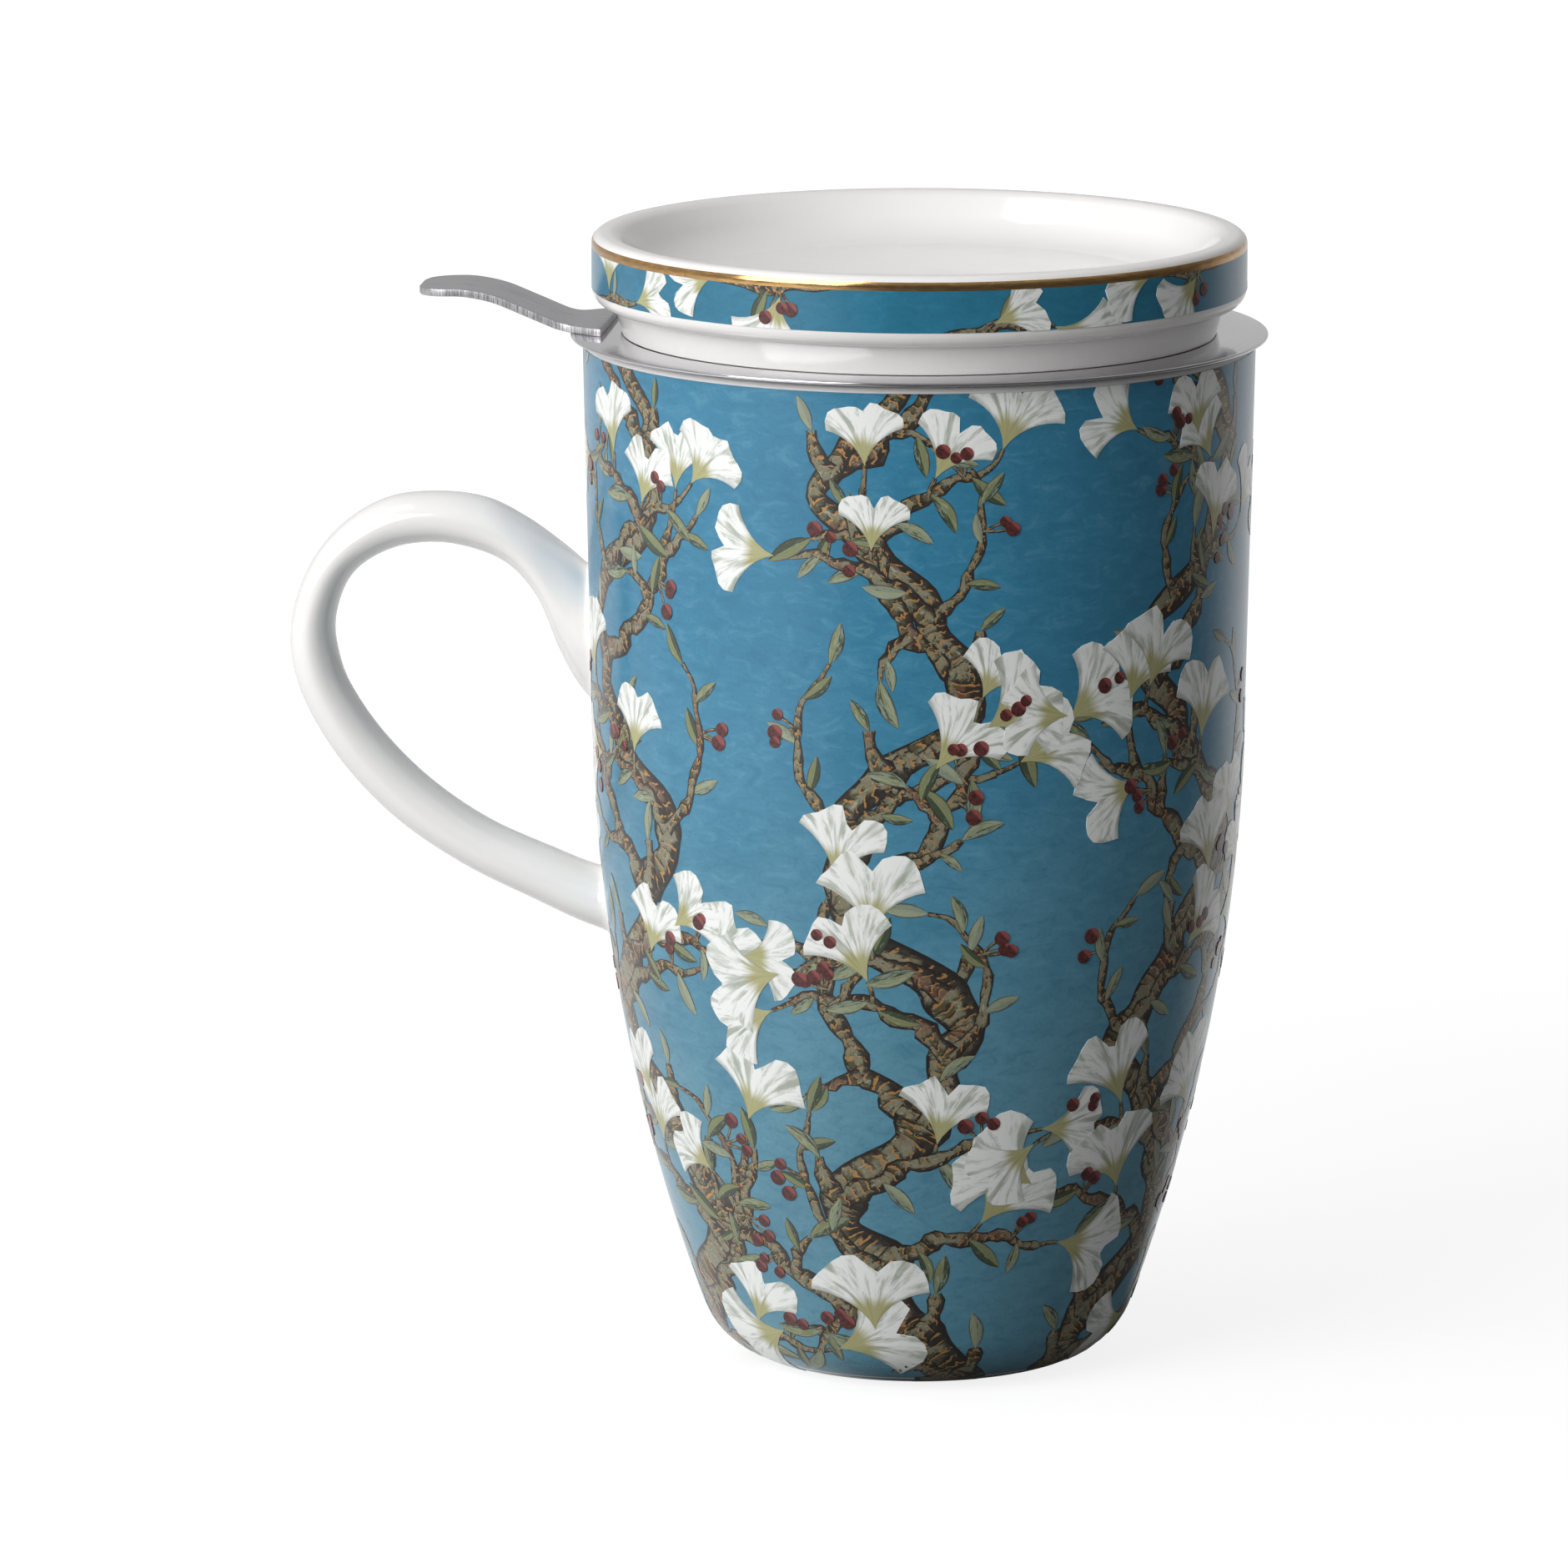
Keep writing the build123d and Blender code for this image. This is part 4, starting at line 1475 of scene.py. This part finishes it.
def make_world():
    """White to the eye, an even fill, and in reflections pale above and behind, dark in front."""
    sky = Sky("studio")
    way = sky.node("ShaderNodeTexCoord", output="Generated")
    back = sky.part(way, "Y") * 0.8 - sky.part(way, "X") * 0.6
    dim = (1 - back.step(-0.3, 0.6)) * (1 - sky.part(way, "Z").step(0.22, 0.65) * 0.75)
    room = 0.58 - dim * 0.46
    level = sky.ray("Glossy") * (room - WORLD_FILL) + WORLD_FILL
    sky.set(Color=(1, 1, 1), Strength=sky.ray("Camera") * (1 - level) + level)


def make_floor():
    """Pale ground that glows white to the eye, with a painted reflection paler behind and left.
    """
    f = Finish("pale_floor")
    camera, where = f.ray("Camera"), f.place()
    way = f.vector("NORMALIZE", where)
    back = (f.part(way, "Y") * 0.6 - f.part(way, "X") * 0.8).step(-0.6, 0.1)
    lit = f.coats((FLOOR_GLOW,) * 3, (f.vector("LENGTH", where).step(150, 700), (1, 1, 1)))
    # painted reflection: for reflected rays only, the floor glows, paler behind and to the left
    painted_reflection = f.coats((0.02,) * 3, (back, (0.50,) * 3))
    glow = f.coats((0, 0, 0), (f.ray("Glossy"), painted_reflection), (camera, lit))
    # painted shade: for all rays but the camera's, the floor's colour is darker in front and
    # shades what it bounces and mirrors
    shade = f.coats((0.16,) * 3, (back, (0.60,) * 3), (camera, (FLOOR_TO_CAMERA,) * 3))
    f.set(Base_Color=shade, Emission_Color=glow, Emission_Strength=1.0, Roughness=0.9,
          Specular_IOR_Level=0.0)
    bm = bmesh.new()
    bmesh.ops.create_grid(bm, x_segments=1, y_segments=1, size=FLOOR_HALF)
    bmesh.ops.translate(bm, vec=(0, 0, -FLOOR_DROP), verts=bm.verts)
    floor = in_scene("pale_floor", finished_mesh(bm, "pale_floor"))
    floor.data.materials.append(f.material)


def make_stage():
    """Pale floor, soft lamps, white surroundings and the camera."""
    make_floor()
    make_world()
    soft_box("left_soft_box", -40, 27, 0.9, 0.89)
    soft_box("high_soft_box", -88, 61, 0.5, 0.14)
    make_camera()
    bpy.context.scene.view_settings.view_transform = "Standard"


# --- operators -----------------------------------------------------------------------------

class Maker:
    """Runs one of the making functions and reports it as finished."""
    bl_options = {"REGISTER", "UNDO"}
    make = None

    def execute(self, context):
        type(self).make()
        return {"FINISHED"}


class TEAMUG_OT_mug_body(Maker, bpy.types.Operator):
    """Model the porcelain body of the mug"""
    bl_idname = "tea_mug.mug_body"
    bl_label = "Mug body"
    make = staticmethod(make_mug_body)


class TEAMUG_OT_mug_handle(Maker, bpy.types.Operator):
    """Model the ear handle"""
    bl_idname = "tea_mug.mug_handle"
    bl_label = "Ear handle"
    make = staticmethod(make_mug_handle)


class TEAMUG_OT_mug_ground(Maker, bpy.types.Operator):
    """Lay the teal film round the mug"""
    bl_idname = "tea_mug.mug_ground"
    bl_label = "Print ground"
    make = staticmethod(make_mug_ground)


class TEAMUG_OT_mug_motifs(Maker, bpy.types.Operator):
    """Draw the vines round the mug"""
    bl_idname = "tea_mug.mug_motifs"
    bl_label = "Print motifs"
    make = staticmethod(make_mug_motifs)


class TEAMUG_OT_infuser_rim(Maker, bpy.types.Operator):
    """Model the infuser's rim and collar"""
    bl_idname = "tea_mug.infuser_rim"
    bl_label = "Infuser rim"
    make = staticmethod(make_infuser_rim)


class TEAMUG_OT_basket_wall(Maker, bpy.types.Operator):
    """Model the perforated wall of the basket"""
    bl_idname = "tea_mug.basket_wall"
    bl_label = "Basket wall"
    make = staticmethod(make_basket_wall)


class TEAMUG_OT_basket_floor(Maker, bpy.types.Operator):
    """Model the perforated floor of the basket"""
    bl_idname = "tea_mug.basket_floor"
    bl_label = "Basket floor"
    make = staticmethod(make_basket_floor)


class TEAMUG_OT_infuser_tab(Maker, bpy.types.Operator):
    """Model the infuser's tab"""
    bl_idname = "tea_mug.infuser_tab"
    bl_label = "Infuser tab"
    make = staticmethod(make_infuser_tab)


class TEAMUG_OT_lid_body(Maker, bpy.types.Operator):
    """Model the porcelain lid"""
    bl_idname = "tea_mug.lid_body"
    bl_label = "Lid"
    make = staticmethod(make_lid_body)


class TEAMUG_OT_lid_bands(Maker, bpy.types.Operator):
    """Lay the printed band and the gold line round the lid"""
    bl_idname = "tea_mug.lid_bands"
    bl_label = "Lid bands"
    make = staticmethod(make_lid_bands)


class TEAMUG_OT_stage(Maker, bpy.types.Operator):
    """Set up the floor, the lamps, the surroundings and the camera"""
    bl_idname = "tea_mug.stage"
    bl_label = "Stage"
    make = staticmethod(make_stage)


OPERATORS = (
    TEAMUG_OT_mug_body, TEAMUG_OT_mug_handle, TEAMUG_OT_mug_ground, TEAMUG_OT_mug_motifs,
    TEAMUG_OT_infuser_rim, TEAMUG_OT_basket_wall, TEAMUG_OT_basket_floor,
    TEAMUG_OT_infuser_tab, TEAMUG_OT_lid_body, TEAMUG_OT_lid_bands, TEAMUG_OT_stage,
)


class TEAMUG_PT_pieces(bpy.types.Panel):
    """Lists the pieces and their sizes in the 3D view's sidebar"""
    bl_idname = "TEAMUG_PT_pieces"
    bl_label = "Tea Mug"
    bl_space_type = "VIEW_3D"
    bl_region_type = "UI"
    bl_category = "Tea Mug"

    def draw(self, context):
        for operator in OPERATORS:
            self.layout.operator(operator.bl_idname)
        for name, group in SETTINGS.items():
            box = self.layout.box()
            box.label(text=group.__doc__)
            for key in group.__annotations__:
                box.prop(getattr(context.scene, name), key)


def register():
    for group in SETTINGS.values():
        bpy.utils.register_class(group)
    for name, group in SETTINGS.items():
        setattr(bpy.types.Scene, name, PointerProperty(type=group))
    for cls in (*OPERATORS, TEAMUG_PT_pieces):
        bpy.utils.register_class(cls)


def unregister():
    for cls in (TEAMUG_PT_pieces, *reversed(OPERATORS)):
        bpy.utils.unregister_class(cls)
    for name in SETTINGS:
        delattr(bpy.types.Scene, name)
    for group in reversed(SETTINGS.values()):
        bpy.utils.unregister_class(group)


def main():
    register()
    for operator in OPERATORS:
        module, name = operator.bl_idname.split(".")
        getattr(getattr(bpy.ops, module), name)()


if __name__ == "__main__":
    main()
